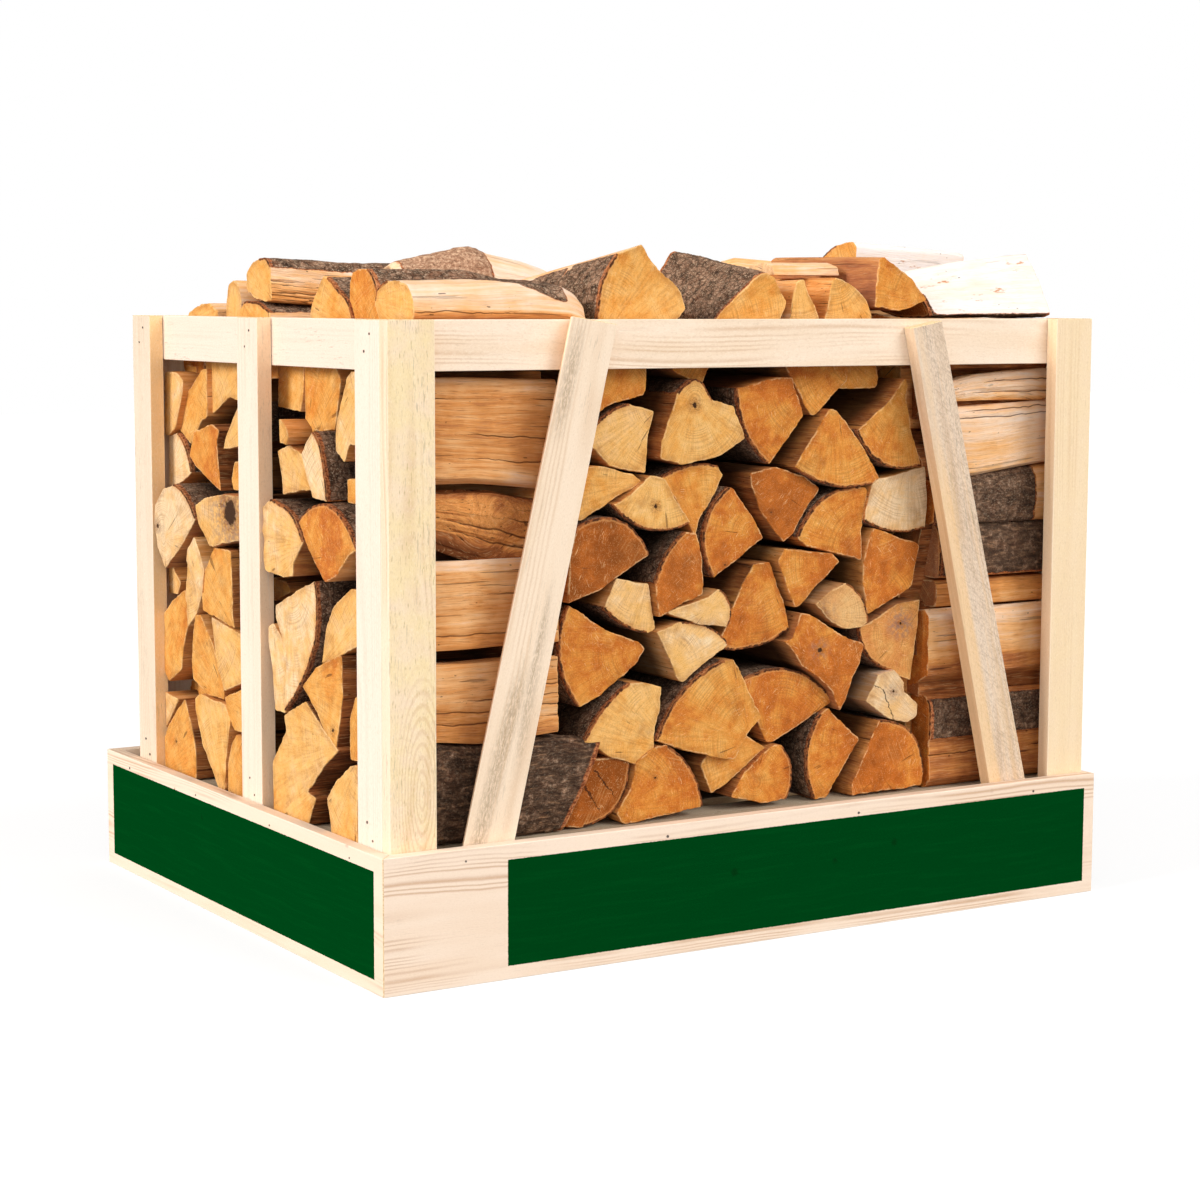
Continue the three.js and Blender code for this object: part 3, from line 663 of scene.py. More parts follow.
FRONT_ENDS = (
    End(52, .45, .6, ((325, 762), (395, 762), (395, 720), (391, 710), (342, 699), (325, 690))),
    End(58, .66, .5, ((318, 671, 4), (372, 699), (411, 690), (401, 660), (397, 611), (343, 621), (315, 650))),
    End(46, .62, .8, ((413, 630), (415, 650), (430, 690), (437, 710, 23), (489, 703), (525, 695), (544, 653),
        (503, 630), (448, 621)), (464, 697, 9)),
    End(50, .3, .7, ((533, 717), (596, 731), (621, 731), (630, 702), (639, 680), (586, 618, 14))),
    End(55, .62, .7, ((288, 556), (290, 603), (302, 622), (328, 623), (379, 610), (392, 600), (350, 579), (300, 553))),
    End(48, .7, .6, ((342, 573), (374, 589), (399, 609), (423, 604), (441, 573), (461, 547, 21)), (407, 569, 8)),
    End(60, .48, .6, ((424, 604, 9), (510, 617), (519, 605), (500, 570), (483, 550), (476, 526), (436, 589))),
    End(50, .12, .7, ((277, 450), (281, 510), (290, 545, 29), (399, 507), (349, 480), (325, 466))),
    End(46, .3, .7, ((406, 468, 7), (451, 534), (470, 533), (477, 503), (480, 480), (479, 451), (449, 442),
        (411, 425))),
    End(57, .28, .7, ((504, 470, 28), (526, 589), (532, 588), (562, 552), (582, 520), (548, 498)), (521, 487, 4)),
    End(54, .8, .5, ((334, 441), (352, 480), (384, 471), (400, 470), (406, 445), (412, 410), (401, 405, 6))),
    End(62, .4, .8, ((286, 447), (344, 411), (392, 392), (400, 384), (388, 366), (327, 325), (303, 315, 22))),
    End(48, .84, .6, ((425, 431), (490, 447), (505, 457, 11), (520, 407), (475, 413))),
    End(52, .78, .5, ((412, 406), (449, 416, 9), (524, 385), (520, 379), (475, 353), (453, 338), (446, 340),
        (425, 383))),
    End(58, .32, .75, ((551, 464), (567, 486), (593, 486), (622, 420), (627, 398, 10), (517, 376), (514, 388),
        (528, 420))),
    End(62, .4, .7, ((617, 760), (618, 742), (640, 710), (659, 680), (667, 679), (703, 711), (720, 723), (725, 760))),
    End(48, .42, .75, ((625, 612), (680, 688), (693, 687), (737, 638), (766, 594), (756, 587, 11), (640, 604))),
    End(46, .5, .7, ((806, 727), (810, 716), (808, 697), (819, 655), (836, 610, 24), (725, 658), (778, 697))),
    End(50, .96, .6, ((755, 586), (768, 593), (790, 596), (845, 606), (850, 560), (847, 523, 9), (744, 536),
        (746, 552)), None, .22),
    End(55, .4, .7, ((742, 483), (650, 506), (636, 517, 19), (735, 582), (748, 582), (753, 577), (745, 547),
        (742, 525))),
    End(60, .24, .8, ((561, 606), (602, 613), (650, 599), (675, 581), (649, 550), (634, 526), (617, 512), (580, 553),
        (564, 590)), (596, 553, 4)),
    End(50, .36, .6, ((601, 488), (612, 504), (650, 500), (691, 494), (704, 483), (685, 468), (650, 440), (635, 425),
        (629, 425))),
    End(47, .64, .45, ((662, 428), (691, 446), (709, 454, 10), (749, 400), (741, 394), (719, 391), (704, 395),
        (685, 405)), (676, 412, 10), .3, .1, .5),
    End(52, .3, .6, ((743, 450), (743, 478), (753, 514), (761, 526), (800, 512), (833, 503), (840, 498), (833, 473),
        (829, 443), (800, 429), (751, 409))),
    End(46, .34, .7, ((608, 382), (624, 384), (636, 417), (648, 416), (676, 401), (700, 385), (717, 377), (741, 371),
        (735, 344), (724, 329), (712, 294), (703, 281), (689, 309), (665, 331), (637, 348), (619, 374)),
        (668, 366, 6), .0, .5, .6),
    End(57, .48, .6, ((742, 391), (772, 402), (804, 418), (845, 424), (842, 395), (832, 312), (806, 321),
        (800, 328, 15)), (812, 392, 9), .15, .1, 1.0),
    End(60, .34, .7, ((550, 333, 26), (699, 297), (699, 290), (652, 268), (603, 245), (592, 245), (574, 283),
        (557, 320))),
    End(46, .47, .6, ((409, 265, 17), (513, 362), (529, 362), (544, 338), (575, 283), (554, 265), (533, 230),
        (515, 232), (446, 252))),
    End(50, .66, .6, ((302, 272, 7), (370, 342), (392, 342), (421, 335), (418, 305), (409, 281), (407, 253),
        (410, 240), (405, 228), (344, 248))),
    End(54, .02, .8, ((286, 250), (344, 248), (372, 240, 22), (305, 162), (284, 161), (268, 166), (275, 213)),
        fissures=((296, 229, 329, 179, 1.5), (320, 234, 352, 196, 1.4))),
    End(47, .34, .7, ((350, 174), (371, 208), (380, 240), (407, 257), (425, 258, 12), (481, 173), (436, 168),
        (379, 160), (360, 162)), (408, 217, 4)),
    End(60, .5, .7, ((487, 225), (497, 236), (535, 232), (554, 262), (591, 238), (550, 211), (517, 190), (504, 185),
        (494, 205))),
    End(52, .4, .8, ((531, 179), (551, 211), (592, 239), (600, 244), (611, 242, 13), (619, 168), (582, 166))),
    End(55, .34, .75, ((677, 277), (689, 285), (743, 238), (711, 194), (687, 160), (670, 160, 18))),
    End(48, .26, .7, ((728, 160), (726, 177), (771, 262, 24), (848, 185), (845, 166), (804, 164))),
    End(50, .95, .3, ((750, 290), (770, 325), (798, 330), (815, 311), (815, 298), (840, 279), (837, 262), (822, 255),
        (790, 262)), (796, 300, 7), .25, .25, .5, ((750, 316, 779, 304, 1.0), (779, 304, 800, 256, 1.2))),
    End(66, .5, .7, ((440, 760), (446, 740), (487, 722), (500, 745), (502, 760))),
    End(68, .5, .7, ((712, 760), (712, 714), (772, 713), (778, 725), (770, 760))),
)

SIDE_ENDS = (
    End(45, .42, .6, ((399, 760), (322, 760), (326, 710), (334, 685), (405, 690))),
    End(45, .36, .6, ((324, 760), (240, 760), (215, 728), (227, 685), (235, 667), (297, 661), (320, 650), (324, 677))),
    End(18, .58, .6, ((144, 735), (133, 742), (91, 742), (91, 655), (138, 653), (153, 630), (177, 644), (176, 675),
        (162, 703))),
    End(3, .74, .7, ((212, 667, 1), (192, 651, 1), (179, 614, 1), (173, 581), (214, 583), (231, 609), (246, 636),
        (231, 653))),
    End(20, .56, .6, ((355, 636), (315, 645), (280, 634), (253, 591), (337, 579), (340, 601))),
    End(10, .45, .6, ((325, 677), (305, 667), (298, 655), (305, 646), (325, 646))),
    End(20, .45, .6, ((150, 610), (91, 615), (91, 580), (150, 581))),
    End(2, .2, .5, ((252, 552, 7), (170, 578, 9), (91, 527), (112, 520), (145, 493), (178, 480), (221, 515))),
    End(3, .6, .75, ((343, 573), (367, 561), (364, 544), (369, 530), (362, 522), (366, 495), (360, 479), (302, 475),
        (272, 480), (271, 495), (240, 525, 1), (272, 557, 1), (302, 566, 1))),
    End(45, .3, .7, ((425, 462), (385, 460), (372, 447), (425, 430))),
    End(8, .7, .8, ((340, 436), (265, 465), (220, 478, 6), (220, 402, 9), (315, 300), (308, 361), (322, 396),
        (341, 420))),
    End(8, .66, .6, ((345, 411), (321, 394), (306, 361), (313, 298), (343, 297), (352, 354), (361, 384), (360, 405))),
    End(8, .55, .9, ((315, 295), (248, 322), (198, 294), (153, 272), (193, 246), (246, 205), (222, 200), (246, 160),
        (352, 160), (354, 226), (309, 275))),
    End(8, .36, .9, ((261, 339), (221, 369), (146, 392), (143, 342), (161, 274), (198, 292), (218, 312)),
        (170, 295, 7)),
    End(15, .5, .7, ((214, 374), (202, 417), (183, 448), (134, 475), (91, 476), (91, 415), (136, 400), (180, 382))),
    End(15, .4, .6, ((138, 312), (120, 342), (91, 347), (91, 264), (138, 262))),
    End(1, .55, .6, ((178, 209), (148, 236), (108, 261), (89, 262), (89, 160), (163, 160), (168, 181))),
    End(30, .6, .6, ((757, 727), (715, 728), (689, 717), (692, 698), (718, 649), (743, 638), (757, 638))),
    End(38, .4, .6, ((738, 651), (718, 681), (695, 698), (640, 733), (624, 733), (623, 668), (643, 661), (685, 628))),
    End(45, .5, .6, ((620, 760), (520, 760), (520, 690), (562, 697), (632, 669))),
    End(18, .56, .7, ((527, 628), (520, 643), (475, 686), (450, 695, 2), (450, 640), (517, 628))),
    End(15, .2, .9, ((635, 614), (616, 649), (554, 661), (531, 654), (539, 636), (529, 571), (609, 599))),
    End(20, .42, .6, ((502, 588), (492, 613), (450, 621), (450, 575), (494, 575))),
    End(34, .76, .5, ((757, 562), (755, 636), (720, 641, 8), (673, 587), (700, 575))),
    End(2, .82, .7, ((735, 518), (731, 540), (700, 564), (660, 573, 9), (587, 529), (630, 494), (698, 452),
        (724, 480)), (721, 511, 9), .1, .3, .5),
    End(3, .55, .6, ((588, 549), (557, 561), (494, 571), (437, 571), (437, 512), (500, 502), (540, 496), (578, 525)),
        (468, 547, 22), .0, .8, .9),
    End(8, .82, .5, ((635, 468), (630, 485), (607, 504), (592, 490), (572, 460), (580, 428), (605, 440))),
    End(10, .42, .8, ((576, 457), (541, 494), (486, 494), (481, 407), (476, 390), (583, 403), (586, 425))),
    End(15, .34, .7, ((739, 300), (735, 384), (704, 406), (654, 426), (647, 377), (666, 344), (673, 311), (721, 286))),
    End(12, .6, .5, ((642, 465), (615, 446), (588, 427), (609, 397), (640, 375), (647, 426))),
    End(12, .36, .6, ((621, 373), (613, 395), (596, 395), (556, 358), (523, 313), (521, 287), (571, 286), (623, 303),
        (628, 328))),
    End(12, .56, .6, ((561, 397), (450, 384), (450, 320), (516, 300), (541, 333))),
    End(12, .4, .6, ((518, 292), (450, 312), (450, 250), (484, 250), (504, 268))),
    End(10, .5, .6, ((612, 278), (597, 285), (512, 283), (497, 261), (512, 206), (517, 160), (537, 160), (589, 216),
        (612, 261))),
    End(12, .34, .8, ((735, 205), (719, 225), (656, 271), (634, 238), (619, 206), (619, 160), (735, 160)),
        (690, 205, 6)),
    End(15, .6, .6, ((735, 271), (683, 267), (735, 218))),
    End(12, .4, .6, ((508, 203), (492, 233), (477, 245), (450, 246), (450, 160), (510, 160))),
    End(30, .6, .6, ((752, 452), (740, 452), (709, 430), (720, 412), (752, 410))),
)


@dataclass(frozen=True)
class LyingLog:
    """A log of a column or of the heap: its CAD node, place along its length, looks and section."""

    node: str
    start: float
    end: float
    looks: Looks
    at: tuple[Corner, ...]
    lie: Lie = Lie.ALONG_X
    course: Course | None = None
    relief: float = 1.0


# In the columns' and the heap's heights, the darker tones on undersides and just under the log above are painted
# shade.
LEFT_COLUMN = (
    LyingLog("log_left_column_1", 22, 262, Looks(.5, .5, heights=((605, .46), (650, .5), (665, .6), (717, .58),
        (722, .52), (738, .46)), cracks=(720, 712, 668, 640), smudge=.3), ((46, 617), (49, 724), (56, 737), (88, 735),
        (88, 608), (56, 610)), course=Course(737, (Station(0), Station(0.5, 1.03), Station(1, 1.08, -4))), relief=1.2),
    LyingLog("log_left_column_2", 22, 262, Looks(.5, .6, heights=((530, 1), (546, .9), (556, .62), (590, .66),
        (600, .9)), cracks=(588, 578, 566, 556), swirl=30.0), ((57, 553), (52, 578), (60, 596), (88, 600), (88, 540),
        (68, 530)), course=Course(600, (Station(0, .9), Station(.3, 1.05), Station(.5, 1.3, -1),
        Station(.66, 1.42, -5), Station(.8, 1.5, -12), Station(1, 1.5, -16))), relief=2.2),
    LyingLog("log_left_column_3", 22, 262, Looks(.5, .42, heights=((402, .56), (440, .5), (498, .46), (502, .28),
        (517, .24)), cracks=(500, 470, 421), smudge=.2), ((46, 404), (47, 500), (56, 515), (88, 512), (88, 402)),
        course=Course(404, (Station(0), Station(1, 0.965)))),
    LyingLog("log_left_column_4", 22, 262, Looks(.5, .5, heights=((288, .66), (325, .54), (386, .44)),
        cracks=(352, 340, 327, 313), smudge=.2), ((46, 290), (46, 352), (50, 386), (88, 384), (88, 288)),
        course=Course(386, (Station(0), Station(.3, 1.01), Station(.53, 1.07), Station(1, 1))), relief=1.3),
    LyingLog("log_left_column_5", 22, 274, Looks(.5, .7, bark_to=1.05, dark=.8), ((46, 172, 2), (46, 268, 2),
        (54, 283, 2), (88, 280), (88, 161), (54, 161, 2)), course=Course(172, (Station(0, 1.02), Station(.28, 1.01),
        Station(.5, .95), Station(.83, .97), Station(1, .9)), slant=0.55), relief=1.6),
)

RIGHT_COLUMN = (
    LyingLog("log_right_column_1", 872, 1062, Looks(.25, .28, heights=((686, .76), (697, .52), (701, .3), (738, .22)),
        cracks=(724, 707), swirl=12.0, smudge=.15), ((50, 694), (46, 715), (54, 738), (88, 736), (88, 690)),
        course=Course(694, (Station(0, .5), Station(.11, .62), Station(.31, .81), Station(.63, .93), Station(1))),
        relief=1.8),
    LyingLog("log_right_column_2", 874, 1074, Looks(.25, .3, heights=((600, .32), (640, .26), (692, .24)),
        cracks=(684, 675), smudge=.12), ((46, 606), (48, 680), (58, 692), (88, 690), (88, 604), (56, 602)),
        course=Course(690, (Station(0, 1.1, -5), Station(.3, 1.08, -4), Station(.63, 1.02, -1), Station(1, .97, 3))),
        relief=0.8),
    LyingLog("log_right_column_3", 860, 1074, Looks(.25, .42, bark_to=0.86, dark=.62), ((48, 530, 2), (46, 580, 2),
        (58, 598, 2), (88, 594), (88, 526), (58, 526, 2)), course=Course(527, (Station(0, .85), Station(.32, .89),
        Station(.9, 1.05), Station(1, 1.05))), relief=1.4),
    LyingLog("log_right_column_4", 852, 1074, Looks(.3, .4, heights=((306, .76), (338, .66), (344, .46), (395, .38),
        (401, .28)), smudge=.1), ((46, 318), (46, 398), (56, 408), (88, 404), (88, 300), (66, 306))),
    LyingLog("log_right_column_5", 857, 1074, Looks(.25, .55, heights=((161, .8), (225, .72), (275, .7), (290, .8)),
        cracks=(206,), dark=.6), ((46, 172), (46, 228, 2), (46, 270, 2), (52, 282), (57, 289), (88, 286), (88, 161),
        (56, 161)), relief=1.3),
)

HEAP = (
    LyingLog("log_heap_bark_wedge", 50, 298, Looks(.6, .3, patches=(BarkPatch(((-.04, 112, 250), (.42, 112, 250),
        (.5, 150, 250), (.54, 215, 250))), BarkPatch(((.45, 114, 150), (.75, 116, 150), (.97, 128, 141))))),
        ((318, 768), (320, 812), (325, 850), (335, 870), (350, 890), (385, 901), (400, 880), (412, 868), (430, 855),
        (445, 840), (453, 820), (436, 800), (400, 768)), Lie.ALONG_Y, Course(768, (Station(0), Station(1, 0.73)),
        390)),
    LyingLog("log_heap_bark_leaning", 50, 298, Looks(.56, .4, bark_from=-0.02), ((495, 800, 1), (520, 825, 1),
        (548, 848, 1), (565, 862, 1), (580, 866), (592, 860), (603, 840), (611, 828), (600, 800), (585, 775),
        (520, 770, 1)), Lie.ALONG_Y, Course(770, (Station(0), Station(1, 1, 32, .55, 4)), 611)),
    LyingLog("log_heap_thin_wedge", 52, 300, Looks(.66, .5), ((617, 800), (622, 840), (628, 857), (640, 858),
        (645, 845), (658, 825), (667, 800), (662, 770), (620, 770)), Lie.ALONG_Y, Course(770, (Station(0),
        Station(1, 0.95)), 640)),
    LyingLog("log_heap_quarter", 50, 300, Looks(.6, .66), ((671, 800), (678, 830), (684, 855), (690, 862), (705, 857),
        (725, 845), (742, 830), (750, 812), (750, 778), (674, 775)), Lie.ALONG_Y, Course(775, (Station(0),
        Station(1, 0.95)), 700)),
    LyingLog("log_heap_orange", 46, 296, Looks(.48, .74, heights=((832, .84), (875, .7), (884, .6), (890, .5)),
        smudge=.8), ((753, 822), (755, 850), (758, 885), (765, 890), (800, 868), (815, 860), (841, 832), (810, 820),
        (795, 816)), Lie.ALONG_Y),
    LyingLog("log_heap_corner", 57, 298, Looks(.7, .1, heights=((806, .72), (814, .6), (817, .3), (855, .2)),
        smudge=.2, cracks=(815,), patches=(BarkPatch(((-.04, 10, 60), (.3, 12, 92), (.42, 12, 108), (.52, 12, 120),
        (.62, 12, 134), (.7, 14, 148), (.78, 20, 160), (.86, 70, 168), (.91, 145, 166)), 4.0),)), ((40, 815),
        (47, 836), (60, 848), (85, 853), (115, 853), (140, 843), (146, 825), (130, 800), (100, 775), (70, 778),
        (50, 795)), course=Course(775, (Station(0), Station(.5, 1.03), Station(.7, 1.02), Station(.9, .97),
        Station(.97, .86), Station(1, .74))), relief=0.7),
    LyingLog("log_heap_scratched", 60, 305, Looks(.4, .2), ((222, 780), (220, 850), (212, 864), (195, 869),
        (170, 868, 1), (150, 853, 1), (134, 820, 1), (126, 775)), course=Course(775, (Station(0), Station(.55),
        Station(.8, .9, -4), Station(1, .8, -8))), relief=0.6),
    LyingLog("log_heap_segment", 55, 305, Looks(.62, .6), ((326, 790), (322, 818), (300, 845), (286, 861),
        (274, 857, 1), (250, 843, 1), (222, 829, 1), (210, 813, 1), (204, 796), (240, 770), (300, 770))),
    LyingLog("log_heap_round_left", 55, 305, Looks(.64, .2, heights=((826, .6), (850, .5), (858, .3), (887, .24)),
        cracks=(858, 852, 847, 842, 837, 832)), ((524, 850), (520, 868), (503, 882), (480, 887, 1), (458, 886, 1),
        (447, 874), (447, 830), (470, 828), (502, 832), (520, 840)), course=Course(828, (Station(0, .95),
        Station(.5, 1.03, -11), Station(1, 1.2, -22))), relief=1.3),
    LyingLog("log_heap_flat_left", 50, 295, Looks(.64, .4), ((440, 770), (440, 812, 1), (480, 825, 1), (520, 826),
        (536, 815), (536, 770))),
    LyingLog("log_heap_rounded_end", 55, 300, Looks(.72, .35), ((540, 775), (543, 830), (552, 850), (568, 856),
        (585, 850), (594, 820), (596, 775))),
    LyingLog("log_heap_low_left", 50, 300, Looks(.66, .4), ((606, 785), (610, 815), (640, 824), (680, 822),
        (715, 812), (728, 790), (700, 768), (630, 768))),
    LyingLog("log_heap_bark_hump", 190, 440, Looks(.6, .2, grey=1.0, bark_from=0.02, bark_to=0.58), ((325, 800, 1),
        (328, 860, 1), (345, 888, 1), (365, 902, 1), (385, 898, 1), (405, 880, 1), (415, 850), (415, 800), (390, 777),
        (345, 775)), course=Course(775, (Station(0, .78), Station(.05, .84), Station(.13, .865), Station(.27, .915),
        Station(.4, .97), Station(.47, .985), Station(.53, .965), Station(.58, .925), Station(.8, .843),
        Station(.94, .76), Station(1, .7))), relief=1.5),
    LyingLog("log_heap_pale_back", 600, 848, Looks(.7, .34), ((312, 790), (315, 870), (335, 891), (360, 888),
        (382, 865), (385, 795), (350, 776)), course=Course(776, (Station(0, .6), Station(.34, .66), Station(.44, .97),
        Station(.5, 1), Station(1, .93)))),
    LyingLog("log_heap_thin_split", 634, 742, Looks(.95, .3, grey=.3), ((112, 864), (116, 876), (140, 882),
        (172, 876), (176, 866), (150, 864)), relief=0.4),
    LyingLog("log_heap_half_round", 846, 1063, Looks(.0, .05, patches=(BarkPatch(((-.04, 90, 290), (.01, 125, 290),
        (.02, 155, 290), (.035, 185, 290), (.06, 200, 290))),), dark=1.0), ((50, 812), (52, 820), (75, 860),
        (105, 897), (135, 890), (160, 850), (165, 825, 1), (120, 809, 1), (70, 809, 1)),
        course=Course(809, (Station(0, .7), Station(.2, .78), Station(.45, .875), Station(.8, .96), Station(1))),
        relief=0.7),
    LyingLog("log_heap_white_round", 846, 1040, Looks(.6, .0), ((216, 840), (215, 880), (214, 907), (222, 913),
        (240, 912), (259, 908, 1), (281, 899, 1), (296, 888), (302, 870), (302, 850), (280, 835), (240, 832)),
        course=Course(832, (Station(0), Station(.9, .86), Station(1, .83))), relief=0.6),
)

CAP_SECTIONS = (
    ((-36, -30), (-34, 18), (-8, 34, 4), (22, 30), (38, 2), (30, -30)),
    ((-40, -30), (-30, 12, 5), (4, 30), (36, 8), (40, -30)),
    ((-34, -30), (-38, 4), (-12, 26), (26, 22, 4), (40, -8), (34, -30)),
)


@dataclass(frozen=True)
class CapRow:
    """A row of logs side by side that caps a stack, all of one length."""

    lie: Lie
    count: int
    first: float
    pitch: float
    middle: float
    start: float
    end: float
    flat: float = 1.0

    def logs(self, seed: int, detail: Detail) -> list[FirewoodLog]:
        """Makes the row's logs, each with the next of the cap sections and a tone of its own.

        Args:
            seed: Number that the logs' noise starts from.
            detail: How finely they are made.

        Returns:
            The logs.
        """
        tones = np.random.default_rng(seed).uniform(0.25, 0.7, (self.count, 2))
        made = []
        for i, (tone, side) in enumerate(tones):
            section = CAP_SECTIONS[i % len(CAP_SECTIONS)]
            middle = self.first + i * self.pitch
            corners = [(middle + c[0], self.middle + c[1] * self.flat, *c[2:]) for c in section]
            looks = Looks(tone, side)
            made.append(FirewoodLog(self.lie, self.start, self.end - self.start, corners, looks, seed + i, detail))
        return made


class NodeWriter:
    """Adds nodes to a tree. A socket among the inputs is linked, and anything else is set as its value."""

    def __init__(self, tree: bpy.types.NodeTree) -> None:
        """Keeps the tree that is written to."""
        self.tree = tree

    def add(self, kind: str, inputs: dict[Any, Any] | None = None, **settings: Any) -> bpy.types.Node:
        """Adds one node.

        Args:
            kind: The node's type name.
            inputs: Socket name or number to the value or to the socket that feeds it.
            settings: Properties of the node.

        Returns:
            The node.
        """
        node = self.tree.nodes.new(kind)
        for key, value in settings.items():
            setattr(node, key, value)
        for key, value in (inputs or {}).items():
            if isinstance(value, bpy.types.NodeSocket):
                self.tree.links.new(value, node.inputs[key])
            else:
                node.inputs[key].default_value = value
        return node

    def value(self, operation: str, *terms: Any, clamp: bool = False) -> bpy.types.NodeSocket:
        """Adds a Math node and gives its result."""
        node = self.add("ShaderNodeMath", dict(enumerate(terms)), operation=operation, use_clamp=clamp)
        return node.outputs[0]

    def times(self, first: Any, second: Any, clamp: bool = False) -> bpy.types.NodeSocket:
        """Multiplies two numbers."""
        return self.value("MULTIPLY", first, second, clamp=clamp)

    def plus(self, first: Any, second: Any, clamp: bool = False) -> bpy.types.NodeSocket:
        """Adds two numbers."""
        return self.value("ADD", first, second, clamp=clamp)

    def less(self, first: Any, second: Any, clamp: bool = False) -> bpy.types.NodeSocket:
        """Takes the second number from the first."""
        return self.value("SUBTRACT", first, second, clamp=clamp)

    def parts(self, vector: Any) -> Any:
        """Gives a vector's x, y and z."""
        return self.add("ShaderNodeSeparateXYZ", {0: vector}).outputs

    def vector(self, operation: str, *terms: Any) -> bpy.types.NodeSocket:
        """Adds a Vector Math node and gives its result, a number for a length and else a vector.

        Args:
            operation: The node's operation.
            terms: Its inputs in order.

        Returns:
            A number for a length, and else a vector.
        """
        inputs = dict(enumerate(terms))
        if operation == "SCALE" and 1 in inputs:
            inputs["Scale"] = inputs.pop(1)
        node = self.add("ShaderNodeVectorMath", inputs, operation=operation)
        return node.outputs["Value" if operation in ("LENGTH", "DISTANCE") else "Vector"]

    def step(self, value: Any, low: float, high: float, smooth: bool = True) -> bpy.types.NodeSocket:
        """Rises from 0 to 1 as value goes from low to high.

        Args:
            value: The number.
            low: Where it is 0.
            high: Where it is 1, which may be below low.
            smooth: False for a straight slope.

        Returns:
            The share, from 0 to 1.
        """
        kind = "SMOOTHSTEP" if smooth else "LINEAR"
        inputs = {"Value": value, "From Min": low, "From Max": high}
        return self.add("ShaderNodeMapRange", inputs, interpolation_type=kind).outputs["Result"]

    def blend(self, share: Any, first: Any, second: Any, strength: Any = None) -> bpy.types.NodeSocket:
        """Mixes two colours.

        Args:
            share: How much of the second, from 0 to 1.
            first: A socket, or a colour as it looks on a screen.
            second: The same.
            strength: What the share is multiplied by first.

        Returns:
            The mixed colour.
        """
        share = share if strength is None else self.times(share, strength)
        first, second = (linear(colour) if isinstance(colour, int) else colour for colour in (first, second))
        return self.add("ShaderNodeMix", {0: share, 6: first, 7: second}, data_type="RGBA").outputs[2]

    def noise(
        self, vector: Any, scale: Any, detail: float = 2.0, rough: float = 0.5, along: float | None = None,
    ) -> bpy.types.NodeSocket:
        """Adds a Noise Texture and gives its value.

        Args:
            vector: Where it is read.
            scale: Its cells to the metre.
            detail: How many finer layers it has.
            rough: How strong they are.
            along: How fine it is along z as a share of across it, for streaks.

        Returns:
            Values about 0.5.
        """
        vector = vector if along is None else self.stretched(vector, (1.0, 1.0, along))
        inputs = {"Vector": vector, "Scale": scale, "Detail": detail, "Roughness": rough}
        return self.add("ShaderNodeTexNoise", inputs).outputs[0]

    def drift(self, *terms: Any, **named: float) -> bpy.types.NodeSocket:
        """Gives noise about nought, from the same values as noise."""
        return self.less(self.noise(*terms, **named), 0.5)

    def stretched(self, vector: Any, sizes: tuple[float, float, float]) -> bpy.types.NodeSocket:
        """Multiplies a vector by fixed sizes."""
        return self.vector("MULTIPLY", vector, sizes)

    def attribute(self, name: str, output: str = "Vector") -> bpy.types.NodeSocket:
        """Reads one of the piece's own values."""
        return self.add("ShaderNodeAttribute", attribute_name=name).outputs[output]

    def ramp(self, share: Any, stops: Sequence[tuple[float, int]]) -> bpy.types.NodeSocket:
        """Turns a number into a colour.

        Args:
            share: The number, from 0 to 1.
            stops: Place and colour of each stop, in order.

        Returns:
            The colour.
        """
        node = self.add("ShaderNodeValToRGB", {"Fac": share})
        elements = node.color_ramp.elements
        while len(elements) < len(stops):
            elements.new(1.0)
        for element, (place, code) in zip(elements, stops):
            element.position = place
            element.color = linear(code)
        return node.outputs["Color"]

    def group(self, tree: bpy.types.NodeTree, **inputs: Any) -> bpy.types.Node:
        """Places a group, with its inputs given by name and an underscore for each space.

        Args:
            tree: The group.
            inputs: Its inputs by name, with an underscore for each space.

        Returns:
            The node.
        """
        node = self.add("ShaderNodeGroup", node_tree=tree)
        for key, value in inputs.items():
            socket = node.inputs[key.replace("_", " ")]
            if isinstance(value, bpy.types.NodeSocket):
                self.tree.links.new(value, socket)
            else:
                socket.default_value = value
        return node


KINDS = {"float": "NodeSocketFloat", "vector": "NodeSocketVector"}


class EffectGroup:
    """A shader node group with named inputs and outputs, for an effect that several finishes share."""

    def __init__(self, name: str, inputs: dict[str, Any], outputs: dict[str, str]) -> None:
        """Makes an empty group with its sockets.

        Args:
            name: The group's name.
            inputs: Name to its kind, or to its kind and start value.
            outputs: Name to its kind.
        """
        self.tree = bpy.data.node_groups.new(name, "ShaderNodeTree")
        for key, kind in inputs.items():
            kind, start = kind if isinstance(kind, tuple) else (kind, None)
            socket = self.tree.interface.new_socket(name=key, in_out="INPUT", socket_type=KINDS[kind])
            if start is not None:
                socket.default_value = start
        for key, kind in outputs.items():
            self.tree.interface.new_socket(name=key, in_out="OUTPUT", socket_type=KINDS[kind])
        self.write = NodeWriter(self.tree)
        self.input = self.write.add("NodeGroupInput").outputs
        self.output = self.write.add("NodeGroupOutput").inputs

    def give(self, **results: bpy.types.NodeSocket) -> bpy.types.NodeTree:
        """Links the results to the outputs of the same names, and gives the finished tree.

        Args:
            results: The outputs by name, with an underscore for each space.

        Returns:
            The finished group.
        """
        for key, socket in results.items():
            self.tree.links.new(socket, self.output[key.replace("_", " ")])
        return self.tree


